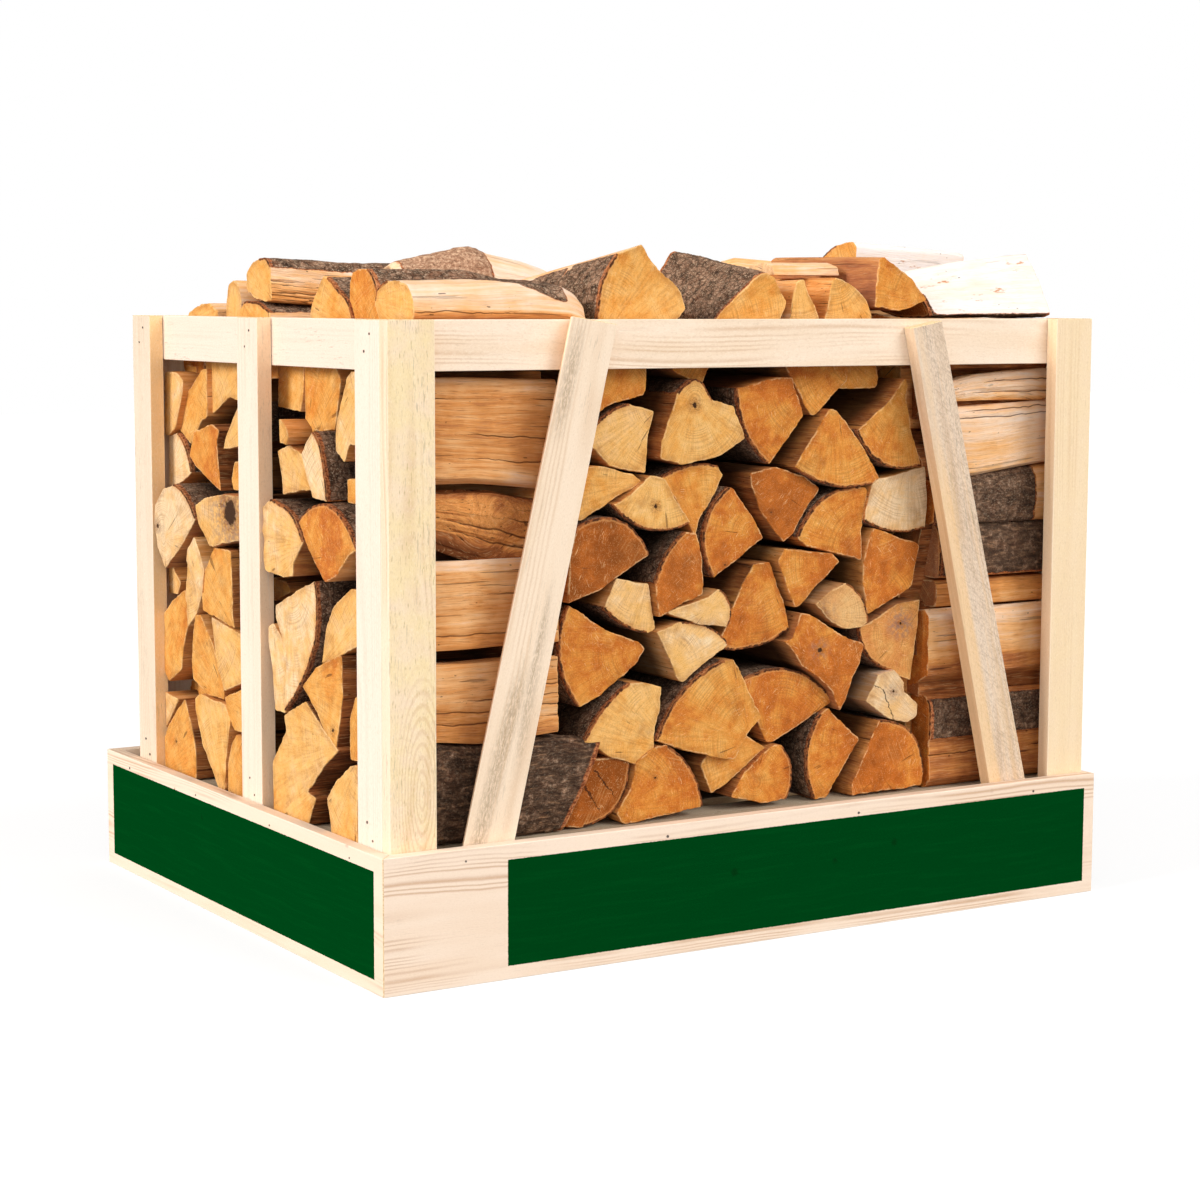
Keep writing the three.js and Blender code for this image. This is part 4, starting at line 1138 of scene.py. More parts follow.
class Effects:
    """The shared shader groups, built once."""

    def __init__(self) -> None:
        """Builds every group."""
        self.seeded = self.build_seeded()
        self.fibre = self.build_fibre()
        self.rings = self.build_rings()
        self.rays = self.build_rays()
        self.saw = self.build_saw()
        self.scratches = self.build_scratches()
        self.stain = self.build_stain()
        self.knot = self.build_knot()
        self.panel = self.build_panel()
        self.fissure = self.build_fissure()
        self.spots = self.build_spots()

    @staticmethod
    def build_seeded() -> bpy.types.NodeTree:
        """Shifts a pattern by a log's or board's own number, so that no two look alike.

        Returns:
            The finished group.
        """
        made = EffectGroup("seeded_place", {"Grain": "vector", "Seed": "float"}, {"Place": "vector"})
        shift = made.write.vector("SCALE", (17.3, 9.1, 24.7), made.input["Seed"])
        return made.give(Place=made.write.vector("ADD", made.input["Grain"], shift))

    @staticmethod
    def build_fibre() -> bpy.types.NodeTree:
        """Long fibres: fine lines, streaks a few millimetres wide, and broad bands of colour.

        Returns:
            The finished group.
        """
        made = EffectGroup(
            "long_fibre", {"Place": "vector", "Width": ("float", 0.0012)},
            {"Fine": "float", "Streak": "float", "Band": "float"},
        )
        write = made.write
        scale = write.value("DIVIDE", 1.0, made.input["Width"])
        bent = write.add("ShaderNodeTexNoise", {"Vector": made.input["Place"], "Scale": 9.0, "Detail": 1.0})
        sway = write.vector("SCALE", write.vector("SUBTRACT", bent.outputs[1], (0.5, 0.5, 0.5)), 0.012)
        place = write.stretched(write.vector("ADD", made.input["Place"], sway), (1.0, 1.0, 0.045))
        fine = write.noise(place, scale, 3.0, 0.6)
        streak = write.noise(place, write.times(scale, 0.28), 3.0, 0.55)
        band = write.noise(place, write.times(scale, 0.05), 2.0, along=2.2)
        return made.give(Fine=fine, Streak=streak, Band=band)

    @staticmethod
    def build_rings() -> bpy.types.NodeTree:
        """Growth rings round the pith, which is where x and y are nought, with the late wood as a thin line.

        Returns:
            The finished group.
        """
        made = EffectGroup(
            "growth_rings", {"Grain": "vector", "Place": "vector", "Spacing": ("float", 0.003),
                             "Wobble": ("float", 0.004)}, {"Ring": "float"},
        )
        write = made.write
        flat = write.stretched(made.input["Grain"], (1.0, 1.0, 0.0))
        wander = write.drift(made.input["Place"], 22.0, 2.0)
        reach = write.plus(write.vector("LENGTH", flat), write.times(wander, made.input["Wobble"]))
        turns = write.value("DIVIDE", reach, made.input["Spacing"])
        uneven = write.add(
            "ShaderNodeTexNoise", {"W": write.times(turns, 0.37), "Scale": 1.0, "Detail": 0.0}, noise_dimensions="1D",
        ).outputs[0]
        phase = write.plus(turns, write.times(uneven, 2.5))
        wave = write.plus(write.times(write.value("SINE", write.times(phase, FULL_TURN)), 0.5), 0.5)
        return made.give(Ring=write.value("POWER", wave, 2.5))

    @staticmethod
    def build_rays() -> bpy.types.NodeTree:
        """Fine streaks that point to the pith, and cracks along a few of them.

        Returns:
            The finished group.
        """
        made = EffectGroup("wood_rays", {"Grain": "vector", "Seed": "float"}, {"Ray": "float", "Crack": "float"})
        write = made.write
        parts = write.parts(made.input["Grain"])
        angle = write.value("ARCTAN2", parts[1], parts[0])
        flat = write.stretched(made.input["Grain"], (1.0, 1.0, 0.0))
        reach = write.vector("LENGTH", flat)
        shift = write.times(made.input["Seed"], 90.0)

        def streaks(turn: float, run: float, detail: float) -> bpy.types.NodeSocket:
            """Reads noise that is long towards the pith and narrow round it.

            Args:
                turn: How many cells there are to a radian.
                run: How many there are to a metre.
                detail: How many finer layers the noise has.

            Returns:
                The noise.
            """
            place = write.add(
                "ShaderNodeCombineXYZ", {0: write.times(angle, turn), 1: write.times(reach, run), 2: shift},
            )
            return write.noise(place.outputs[0], 1.0, detail, 0.6)

        crack = write.step(streaks(9.0, 14.0, 2.0), 0.695, 0.73)
        return made.give(Ray=write.step(streaks(34.0, 26.0, 3.0), 0.4, 0.7), Crack=crack)

    @staticmethod
    def build_spots() -> bpy.types.NodeTree:
        """Small knots here and there: their dark middle, with a softer ring round it.

        Returns:
            The finished group.
        """
        made = EffectGroup("small_knots", {"Place": "vector", "Scale": ("float", 12.0)}, {"Spot": "float"})
        write = made.write
        bent = write.drift(made.input["Place"], 260.0, 2.0)
        reach = write.add(
            "ShaderNodeTexVoronoi", {"Vector": made.input["Place"], "Scale": made.input["Scale"], "Randomness": 1.0},
        ).outputs["Distance"]
        reach = write.plus(reach, write.times(bent, 0.05))
        return made.give(Spot=write.step(reach, 0.095, 0.03))

    @staticmethod
    def build_saw() -> bpy.types.NodeTree:
        """Arcs that the saw left across an end, each log's turned its own way.

        Returns:
            The finished group.
        """
        made = EffectGroup(
            "saw_marks", {"Grain": "vector", "Seed": "float", "Pitch": ("float", 0.002)}, {"Mark": "float"},
        )
        write = made.write
        angle = write.times(made.input["Seed"], 37.0)
        far = write.add("ShaderNodeCombineXYZ", {0: write.value("COSINE", angle), 1: write.value("SINE", angle)})
        centre = write.vector("SCALE", far.outputs[0], 0.34)
        flat = write.stretched(made.input["Grain"], (1.0, 1.0, 0.0))
        reach = write.value("DIVIDE", write.vector("DISTANCE", flat, centre), made.input["Pitch"])
        mark = write.add("ShaderNodeTexNoise", {"W": reach, "Scale": 1.0, "Detail": 2.0}, noise_dimensions="1D")
        return made.give(Mark=write.step(mark.outputs[0], 0.42, 0.72))

    @staticmethod
    def build_scratches() -> bpy.types.NodeTree:
        """Short pale dashes, in two directions that each log turns its own way.

        Returns:
            The finished group.
        """
        made = EffectGroup("scratches", {"Place": "vector", "Seed": "float"}, {"Dash": "float"})
        write = made.write
        dashes = None
        for turn, low in ((11.0, 0.66), (29.0, 0.68), (47.0, 0.69)):
            angle = write.times(made.input["Seed"], turn)
            turned = write.add("ShaderNodeVectorRotate", {"Vector": made.input["Place"], "Angle": angle})
            place = write.stretched(turned.outputs[0], (780.0, 75.0, 30.0))
            dash = write.step(write.noise(place, 1.0, 1.0), low, low + 0.07)
            dashes = dash if dashes is None else write.value("MAXIMUM", dashes, dash)
        patch = write.step(write.noise(made.input["Place"], 45.0, 1.0), 0.4, 0.65)
        return made.give(Dash=write.times(dashes, patch))

    @staticmethod
    def build_stain() -> bpy.types.NodeTree:
        """Soft patches of another colour, which cover a share of the surface.

        Returns:
            The finished group.
        """
        made = EffectGroup(
            "stain", {"Place": "vector", "Scale": ("float", 20.0), "Cover": ("float", 0.4)}, {"Patch": "float"},
        )
        write = made.write
        cloud = write.noise(made.input["Place"], made.input["Scale"], 4.0, 0.6)
        edge = write.less(0.78, write.times(made.input["Cover"], 0.5))
        return made.give(Patch=write.times(write.less(cloud, edge), 5.0, clamp=True))

    @staticmethod
    def build_knot() -> bpy.types.NodeTree:
        """A knot of radius 1 about the eye's x and y: its dark heart, a brown halo and a wide soft smudge.

        Returns:
            The finished group.
        """
        made = EffectGroup(
            "knot", {"Eye": "vector", "Place": "vector", "Size": ("float", 0.5)},
            {"Heart": "float", "Halo": "float", "Smudge": "float"},
        )
        write = made.write
        cloud = write.drift(made.input["Place"], 150.0, 4.0, 0.65)
        flat = write.stretched(made.input["Eye"], (0.95, 1.05, 0.0))
        reach = write.plus(write.vector("LENGTH", flat), write.times(cloud, 1.1))
        past = write.less(reach, made.input["Size"])
        curl = write.step(write.noise(write.stretched(made.input["Eye"], (1.0, 2.2, 0.0)), 1.6, 3.0, 0.7), 0.4, 0.62)
        halo = write.times(write.step(past, 1.3, 0.15), write.plus(0.35, curl))
        smudge = write.times(write.step(past, 3.4, 0.8), write.step(cloud, -0.12, 0.14))
        return made.give(Heart=write.step(past, 0.12, -0.12), Halo=halo, Smudge=smudge)

    @staticmethod
    def build_fissure() -> bpy.types.NodeTree:
        """A ragged dark gap along a line, from half widths away and the share along it.

        Returns:
            The finished group.
        """
        made = EffectGroup("fissure", {"Way": "vector", "Place": "vector"}, {"Gap": "float"})
        write = made.write
        parts = write.parts(made.input["Way"])
        ragged = write.drift(made.input["Place"], 190.0, 3.0, 0.6)
        away = write.value("ABSOLUTE", write.plus(parts[0], write.times(ragged, 7.0)))
        away = write.plus(away, write.times(parts[1], 0.5))
        ends = write.times(write.step(parts[1], -0.04, 0.02), write.step(parts[1], 1.04, 0.9))
        return made.give(Gap=write.times(write.step(away, 1.2, 0.6), ends))

    @staticmethod
    def build_panel() -> bpy.types.NodeTree:
        """A painted panel: 1 inside a box of object coordinates, with an edge that is not quite clean.

        Returns:
            The finished group.
        """
        made = EffectGroup(
            "painted_panel", {"Place": "vector", "Low": "vector", "High": "vector"}, {"Paint": "float"},
        )
        write = made.write
        ragged = write.times(write.drift(made.input["Place"], 420.0), 0.0012)
        above = write.parts(write.vector("SUBTRACT", made.input["Place"], made.input["Low"]))
        below = write.parts(write.vector("SUBTRACT", made.input["High"], made.input["Place"]))
        inside = None
        for socket in (*above, *below):
            edge = write.step(write.plus(socket, ragged), -0.0002, 0.0002, smooth=False)
            inside = edge if inside is None else write.times(inside, edge)
        return made.give(Paint=inside)


class Finish:
    """What every finish shares: a material with one shader, and its relief, which is in metres."""

    name = "finish"
    roughness = 0.75
    specular = 0.3
    relief = 0.0006

    def __init__(self, effects: Effects) -> None:
        """Makes the material and writes its nodes.

        Args:
            effects: The shared groups.
        """
        self.effects = effects
        self.material = bpy.data.materials.new(self.name)
        self.material.use_nodes = True
        tree = self.material.node_tree
        tree.nodes.clear()
        self.write = NodeWriter(tree)
        shader = self.write.add("ShaderNodeBsdfPrincipled")
        shader.inputs["Specular IOR Level"].default_value = self.specular
        shader.inputs["Roughness"].default_value = self.roughness
        colour, height = self.paint()
        tree.links.new(colour, shader.inputs["Base Color"])
        bump = self.write.add("ShaderNodeBump", {"Height": height, "Distance": self.relief, "Strength": 1.0})
        tree.links.new(bump.outputs[0], shader.inputs["Normal"])
        self.write.add("ShaderNodeOutputMaterial", {0: shader.outputs[0]})

    def paint(self) -> tuple[Any, Any]:
        """Writes the colour, and the height that is scaled by the relief.

        Returns:
            The colour and the height.
        """
        raise NotImplementedError

    def placed(self) -> tuple[Any, Any, Any]:
        """Reads the grain, the piece's own number and the place that patterns are drawn at.

        Returns:
            The three sockets.
        """
        grain = self.write.attribute("grain")
        seed = self.write.attribute("seed", "Fac")
        return grain, seed, self.write.group(self.effects.seeded, Grain=grain, Seed=seed).outputs[0]


class BeechEnd(Finish):
    """A sawn end: rays and rings, saw arcs, pale dashes, stains, a knot, and a light or barky rim."""

    name = "beech_end"
    specular = 0.1
    BASE = (
        (0.0, 0x84420F), (0.12, 0x9E5219), (0.3, 0xC56B24), (0.42, 0xDA8B38), (0.55, 0xE4A24E), (0.72, 0xEDB96E),
        (0.85, 0xEFC182), (1.0, 0xF3D6AA),
    )

    def paint(self) -> tuple[Any, Any]:
        """Writes the end's colours from the log's tone.

        Returns:
            The colour and the height.
        """
        write, effects = self.write, self.effects
        grain, seed, place = self.placed()
        look = write.parts(write.attribute("look"))
        cloud = write.drift(place, 13.0, 3.0, 0.6)
        patchy = write.drift(place, 60.0, 3.0, 0.65)
        drift = write.plus(write.times(cloud, 0.7), write.times(patchy, 0.5))
        base = write.ramp(write.plus(look[0], drift, clamp=True), self.BASE)
        colour = write.blend(look[2], base, 0xCCAE90)
        ray = write.group(effects.rays, Grain=grain, Seed=seed)
        colour = write.blend(ray.outputs["Ray"], colour, 0x96501C, 0.27)
        ring = write.group(effects.rings, Grain=grain, Place=place, Spacing=0.0042, Wobble=0.007)
        contrast = write.step(write.noise(place, 26.0, 1.0), 0.42, 0.7)
        ringed = write.times(ring.outputs["Ring"], write.times(contrast, 0.32))
        colour = write.blend(ringed, colour, 0x8A4818)
        saw = write.group(effects.saw, Grain=grain, Seed=seed, Pitch=0.0026).outputs[0]
        sawn = write.times(saw, write.step(write.noise(place, 18.0, 1.0), 0.5, 0.72))
        colour = write.blend(sawn, colour, 0xEDB973, 0.26)
        dark = write.group(effects.stain, Place=place, Scale=24.0, Cover=0.46).outputs[0]
        colour = write.blend(dark, colour, 0x86481A, 0.42)
        dash = write.group(effects.scratches, Place=place, Seed=seed).outputs[0]
        colour = write.blend(dash, colour, 0xF6CB92, 0.5)
        speck = write.noise(place, 640.0, 4.0, 0.72)
        colour = write.blend(write.step(speck, 0.52, 0.68), colour, 0x8E4A18, 0.36)
        colour = write.blend(write.step(speck, 0.47, 0.32), colour, 0xFBD08A, 0.3)
        colour = write.blend(ray.outputs["Crack"], colour, 0x3A1E0E, 0.55)
        marks = write.parts(write.attribute("marks"))
        knot = write.group(effects.knot, Eye=write.attribute("eye"), Place=place, Size=marks[0])
        smudge = write.times(knot.outputs["Smudge"], marks[1])
        colour = write.blend(smudge, colour, 0x84706A, 0.75)
        colour = write.blend(write.times(knot.outputs["Halo"], 0.5, clamp=True), colour, 0x7A4420)
        colour = write.blend(knot.outputs["Heart"], colour, 0x3E2614)
        for name in ("fissure_a", "fissure_b"):
            gap = write.group(effects.fissure, Way=write.attribute(name), Place=place).outputs[0]
            colour = write.blend(gap, colour, 0x2C180D, 0.85)
        colour = self.rimmed(colour, place)
        height = write.plus(write.times(sawn, 0.4), write.times(speck, 0.9))
        height = write.less(height, write.plus(knot.outputs["Heart"], ray.outputs["Crack"]))
        return colour, height

    def rimmed(self, colour: Any, place: Any) -> Any:
        """Adds painted shade in patches just inside the edge, a pale rim that is partly fuzz of the cut and partly
        painted highlight, and the bark's dark line where there is bark.

        Args:
            colour: The end's colour.
            place: Where patterns are drawn.

        Returns:
            The colour with its rim.
        """
        write = self.write
        rim = write.attribute("rim", "Fac")
        reach = write.plus(rim, write.times(write.drift(place, 300.0, 3.0, 0.6), 0.0045))
        bark = write.step(write.attribute("bark", "Fac"), 0.35, 0.6)
        # Painted shade: the end darkens in patches within about 11 mm of its rim.
        rim_shade = write.times(write.step(reach, 0.011, 0.001), write.step(write.noise(place, 34.0), 0.4, 0.6))
        colour = write.blend(rim_shade, colour, 0x8A4A1C, 0.3)
        # A thin, broken pale rim: partly pale fuzz of the cut, partly painted highlight along the edge.
        broken = write.step(write.noise(place, 70.0, 2.0), 0.42, 0.58)
        pale = write.times(write.step(reach, 0.0015, 0.0004), write.times(broken, 0.4))
        colour = write.blend(pale, colour, 0xF8D49C)
        inner = write.times(write.step(reach, 0.0052, 0.003), bark)
        colour = write.blend(inner, colour, 0xE0A262, 0.4)
        outer = write.times(write.step(reach, 0.0026, 0.0014), bark)
        crust = write.blend(write.step(write.noise(place, 120.0, 2.0), 0.4, 0.6), 0x4A2A18, 0x9A5A30)
        return write.blend(outer, colour, crust)


class BeechSide(Finish):
    """A log's sides: split fibres, and bark with a torn reddish edge and pale flecks."""

    name = "beech_side"
    roughness = 0.85
    specular = 0.12
    relief = 0.0012
    SPLIT = (
        (0.0, 0xF5EBE5), (0.2, 0xF5D4B4), (0.4, 0xF0B87C), (0.6, 0xDB944F), (0.8, 0xAE6A3A), (1.0, 0x673819),
    )

    def paint(self) -> tuple[Any, Any]:
        """Mixes the split wood and the bark by the torn edge between them.

        Returns:
            The colour and the height.
        """
        write = self.write
        place = self.placed()[2]
        wood, wood_height = self.split(place)
        bark, bark_height = self.bark(place)
        torn = write.times(write.drift(place, 55.0, 4.0, 0.65), 0.9)
        cover = write.plus(write.attribute("bark", "Fac"), torn)
        mask = write.step(cover, 0.48, 0.54)
        edge = write.times(write.step(cover, 0.24, 0.42), write.less(1.0, mask))
        barked = write.step(write.attribute("bark", "Fac"), 0.02, 0.12)
        red = write.blend(write.step(write.noise(place, 300.0, 2.0), 0.4, 0.6), 0x7A3A1C, 0xC57A4A)
        colour = write.blend(edge, wood, red, barked)
        colour = write.blend(mask, colour, bark)
        uneven = write.times(write.drift(place, 90.0, 3.0, 0.6), 0.007)
        near = write.plus(write.attribute("rim", "Fac"), uneven)
        ripped = write.times(write.step(near, 0.0072, 0.005), write.times(mask, 0.8))
        colour = write.blend(ripped, colour, red)
        # Lighter within about 2 mm of a sawn end: partly torn fibres, partly painted highlight along the edge.
        frayed_highlight = write.step(write.attribute("rim", "Fac"), 0.0022, 0.0004)
        colour = write.blend(frayed_highlight, colour, 0xE8B87E, 0.4)
        # Painted shade: the sides darken almost to black as they run from their end into the stack.
        depth = write.step(write.attribute("deep", "Fac"), 0.008, 0.075)
        colour = write.blend(depth, colour, 0x170C06, 0.78)
        low = write.times(wood_height, write.less(1.0, mask))
        high = write.times(write.plus(bark_height, 1.2), mask)
        return colour, write.plus(low, high)

    def split(self, place: Any) -> tuple[Any, Any]:
        """Writes the split wood's colour and height.

        Args:
            place: Where patterns are drawn.

        Returns:
            The colour and the height.
        """
        write = self.write
        look = write.parts(write.attribute("look"))
        fibre = write.group(self.effects.fibre, Place=place, Width=0.0013)
        band = write.times(write.less(fibre.outputs["Band"], 0.5), 0.5)
        streak = write.times(write.less(fibre.outputs["Streak"], 0.5), 0.5)
        cloud = write.times(write.drift(place, 24.0, 3.0, 0.6), 0.4)
        drift = write.plus(write.plus(band, streak), cloud)
        own = write.times(write.step(look[1], -0.1, 0.3, smooth=False), drift)
        shade = write.plus(look[1], own, clamp=True)
        colour = write.ramp(shade, self.SPLIT)
        depth = write.times(write.plus(look[1], 0.05), 0.85, clamp=True)
        groove = write.times(write.step(fibre.outputs["Fine"], 0.54, 0.72), depth)
        colour = write.blend(groove, colour, 0x7A4526)
        glint = write.times(write.step(fibre.outputs["Fine"], 0.46, 0.32), 0.26)
        colour = write.blend(glint, colour, 0xF4CB94)
        thin = write.noise(place, 170.0, 2.0, along=0.035)
        crack = write.step(thin, 0.67, 0.7)
        colour = write.blend(crack, colour, 0x2F1A12, depth)
        mauve = write.times(write.parts(write.attribute("marks"))[1], 0.5)
        colour = write.blend(mauve, colour, 0x94604C)
        long_crack = write.step(write.value("ABSOLUTE", write.attribute("crack", "Fac")), 1.2, 0.35)
        colour = write.blend(long_crack, colour, 0x42220F, 0.8)
        bare = write.step(look[1], 0.16, 0.06)
        scar = write.noise(place, 48.0, 4.0, 0.7, along=0.35)
        colour = write.blend(write.step(scar, 0.62, 0.7), colour, 0xC98E64, bare)
        pit = write.step(write.noise(place, 240.0, 1.0, along=0.4), 0.76, 0.8)
        colour = write.blend(pit, colour, 0x2A150C, 0.7)
        height = write.less(write.plus(fibre.outputs["Streak"], fibre.outputs["Fine"]), crack)
        return colour, height

    def bark(self, place: Any) -> tuple[Any, Any]:
        """Writes the bark's colour and height.

        Args:
            place: Where patterns are drawn.

        Returns:
            The colour and the height.
        """
        write = self.write
        coarse = write.noise(place, 70.0, 5.0, 0.72)
        fine = write.noise(place, 360.0, 4.0, 0.7)
        cracks = write.add(
            "ShaderNodeTexVoronoi", {"Vector": write.stretched(place, (1.0, 1.0, 0.55)), "Scale": 120.0},
            feature="DISTANCE_TO_EDGE",
        ).outputs[0]
        colour = write.ramp(coarse, ((0.3, 0x2D1F18), (0.44, 0x5C4433), (0.56, 0x896953), (0.72, 0xB29074)))
        dusty = write.parts(write.attribute("look"))[2]
        sandy = write.ramp(write.noise(place, 210.0, 4.0, 0.75), ((0.34, 0x6E4E3A), (0.5, 0xB98E70), (0.64, 0xE6C2A0)))
        colour = write.blend(dusty, colour, sandy, 0.8)
        lichen = write.times(write.step(fine, 0.52, 0.62), write.less(1.0, dusty))
        colour = write.blend(lichen, colour, 0xCDB498, 0.6)
        rusty = write.group(self.effects.stain, Place=place, Scale=34.0, Cover=0.5).outputs[0]
        colour = write.blend(rusty, colour, 0x8A4C2C, 0.35)
        # Painted shade: the marks' third value darkens the bark of logs that lie in shade, such as the columns'.
        dark = write.parts(write.attribute("marks"))[2]
        strand = write.noise(place, 210.0, 4.0, 0.7, along=0.25)
        shaded = write.ramp(strand, ((0.36, 0x1B110B), (0.5, 0x3A281C), (0.6, 0x5E4634), (0.7, 0x9A7454)))
        colour = write.blend(dark, colour, shaded, write.step(coarse, 0.75, 0.5))
        split = write.step(cracks, 0.1, 0.0)
        fresh = write.times(write.less(write.less(1.0, dark), dusty, clamp=True), 0.6)
        colour = write.blend(split, colour, 0x1E130D, fresh)
        height = write.plus(coarse, write.times(fine, 0.6))
        return colour, write.less(height, write.times(split, 0.5))


class Softwood(Finish):
    """Pale planed spruce: sparse growth lines, a fine speckle, small dark flecks, and bright edges."""

    name = "softwood"
    early = 0xF4DEC6
    late = 0xE0BE96
    line = 0xC99B6C
    weathered = 0xD6C8B4
    warm = 0xF0CE98
    fleck = 0x7F6A50
    lines_show = 0.45
    speckle = 0.3
    relief = 0.00022
    specular = 0.16

    def paint(self) -> tuple[Any, Any]:
        """Writes the board's colours from its grain.

        Returns:
            The colour and the height.
        """
        write, effects = self.write, self.effects
        grain, seed, place = self.placed()
        look = write.parts(write.attribute("look"))
        heart = write.add("ShaderNodeCombineXYZ", {
            0: write.times(write.value("SINE", write.times(seed, 61.0)), 0.05),
            1: write.plus(0.03, write.times(seed, 0.05)),
        })
        sway = write.times(write.drift(place, 6.0, 1.0, along=0.3), 0.05)
        lifted = write.add("ShaderNodeCombineXYZ", {0: sway, 1: sway}).outputs[0]
        about = write.vector("ADD", write.vector("ADD", grain, heart.outputs[0]), lifted)
        ring = write.group(effects.rings, Grain=about, Place=place, Spacing=0.0058, Wobble=0.002)
        fibre = write.group(effects.fibre, Place=place, Width=0.0015)
        tone = write.times(write.step(fibre.outputs["Band"], 0.4, 0.68), 0.3)
        colour = write.blend(tone, self.early, self.late)
        where = write.noise(place, 17.0, 2.0, along=0.25)
        shown = write.times(write.step(where, 0.4, 0.62), self.lines_show)
        colour = write.blend(ring.outputs["Ring"], colour, self.line, shown)
        colour = write.blend(look[2], colour, self.warm)
        colour = write.blend(look[0], colour, self.weathered)
        # Orange on the narrow sides by the board's flank value: their sawn colour; at the left middle post's full
        # value it is also painted light on a shaded flank.
        sawn = write.times(write.attribute("bark", "Fac"), write.step(fibre.outputs["Streak"], 0.05, 0.4))
        colour = write.blend(sawn, colour, 0xFFCC84)
        marks = write.parts(write.attribute("marks"))
        colour = write.blend(marks[2], colour, 0xF5E0D2)
        patch = write.times(write.step(write.noise(place, 26.0, 3.0, 0.6), 0.25, 0.75), marks[0])
        colour = write.blend(patch, colour, 0xF0D9A4)
        tick = write.noise(place, 620.0, 2.0, 0.6, along=0.12)
        tick = write.times(write.step(tick, 0.58, 0.72), write.times(marks[0], 0.8))
        colour = write.blend(tick, colour, 0xB0925C)
        arch = write.vector("LENGTH", write.stretched(write.attribute("eye"), (1.0, 0.25, 0.0)))
        wander = write.times(write.noise(place, 40.0, 2.0), 4.0)
        wave = write.value("SINE", write.plus(write.times(arch, 7.85), wander))
        flame = write.times(write.step(arch, 9.5, 5.0), write.times(marks[1], 0.3))
        colour = write.blend(flame, colour, self.line, write.step(wave, -0.3, 1.0))
        speck = write.noise(place, 560.0, 3.0, 0.7, along=0.5)
        dull = write.times(write.step(speck, 0.52, 0.72), self.speckle)
        colour = write.blend(dull, colour, 0xC7AB88)
        bright = write.times(write.step(speck, 0.46, 0.3), self.speckle)
        colour = write.blend(bright, colour, 0xFDF2E2)
        dashes = write.noise(place, 480.0, 2.0, 0.6, along=0.09)
        dotted = write.step(write.noise(place, 16.0, 2.0, along=0.3), 0.45, 0.62)
        fleck = write.times(write.step(dashes, 0.61, 0.68), write.times(dotted, look[1]))
        colour = write.blend(fleck, colour, self.fleck)
        knot = write.group(effects.knot, Eye=write.attribute("eye"), Place=place)
        plain = write.less(1.0, marks[1])
        halo, heart = (write.times(knot.outputs[name], plain) for name in ("Halo", "Heart"))
        colour = write.blend(halo, colour, 0xC08E58, 0.4)
        colour = write.blend(heart, colour, 0x7A4E2E, 0.85)
        worn = write.step(write.attribute("rim", "Fac"), 0.0024, 0.0)
        colour = write.blend(worn, colour, 0xFFF4E2, 0.35)
        stained = write.attribute("crack", "Fac")
        dirt = write.step(write.noise(place, 520.0, 4.0, 0.75, along=0.22), 0.36, 0.6)
        colour = write.blend(stained, colour, 0x866C50, write.times(dirt, 0.62))
        colour = write.blend(stained, colour, 0xC8AC8C, 0.25)
        height = write.plus(fibre.outputs["Fine"], write.times(speck, 1.2))
        return self.over(colour), height

    def over(self, colour: Any) -> Any:
        """Lets a finish lay something over the wood."""
        return colour


class SawnSoftwood(Softwood):
    """Rough sawn, slightly grey softwood: smoother on its left, with an orange left flank."""

    name = "sawn_softwood"
    early = 0xF0D8C0
    late = 0xDCBC98
    relief = 0.0009
    roughness = 0.9
    specular = 0.05

    def over(self, colour: Any) -> Any:
        """Adds the saw's fuzz and its slanting ripples, and the fresh orange flank.

        Args:
            colour: The planed wood's colour.

        Returns:
            The sawn wood's colour.
        """
        write = self.write
        grain = write.attribute("grain")
        across = write.parts(grain)[0]
        rough = write.step(across, -0.032, -0.004)
        fuzz = write.noise(grain, 520.0, 4.0, 0.75, along=0.4)
        worn = write.plus(0.3, write.times(rough, 0.25))
        colour = write.blend(write.step(fuzz, 0.42, 0.66), colour, 0xB8987C, worn)
        streak = write.noise(grain, 90.0, 2.0, along=0.05)
        low = write.step(write.parts(grain)[2], 0.56, 0.4)
        warm = write.times(write.step(across, -0.008, -0.016), write.times(low, 0.5))
        colour = write.blend(warm, colour, 0xF2C078)
        colour = write.blend(write.step(streak, 0.48, 0.66), colour, 0xEBC490, 0.3)
        turned = write.add("ShaderNodeVectorRotate", {"Vector": grain, "Angle": 0.9}, rotation_type="Y_AXIS")
        ripple = write.noise(write.stretched(turned.outputs[0], (420.0, 60.0, 70.0)), 1.0, 2.0)
        ripple = write.times(write.step(ripple, 0.5, 0.68), write.times(rough, 0.28))
        colour = write.blend(ripple, colour, 0xA88A72)
        smooth = write.times(write.less(1.0, rough), 0.15)
        colour = write.blend(smooth, colour, 0xF8E0C0)
        flank = write.times(write.step(across, -0.0265, -0.0285), write.step(streak, 0.38, 0.6))
        return write.blend(flank, colour, 0xD8B088, 0.35)


class DeckSoftwood(Softwood):
    """Dull pallet boards."""

    name = "deck_softwood"
    early = 0xC2AE92
    late = 0x9A866E
    line = 0x86694A
    weathered = 0x94887A
    relief = 0.0006
    roughness = 0.9
    specular = 0.05


class SoftwoodEnd(Finish):
    """The sawn end of a lath, with rings across it."""

    name = "softwood_end"
    roughness = 0.85
    relief = 0.0003

    def paint(self) -> tuple[Any, Any]:
        """Writes rings and saw marks.

        Returns:
            The colour and the height.
        """
        write, effects = self.write, self.effects
        grain, seed, place = self.placed()
        about = write.vector("ADD", grain, (0.03, 0.05, 0.0))
        ring = write.group(effects.rings, Grain=about, Place=place, Spacing=0.0034, Wobble=0.002)
        saw = write.group(effects.saw, Grain=grain, Seed=seed, Pitch=0.0014).outputs[0]
        colour = write.blend(ring.outputs["Ring"], 0xEFD5A8, 0xC4955C, 0.6)
        colour = write.blend(saw, colour, 0xF8E8CC, 0.3)
        return colour, saw


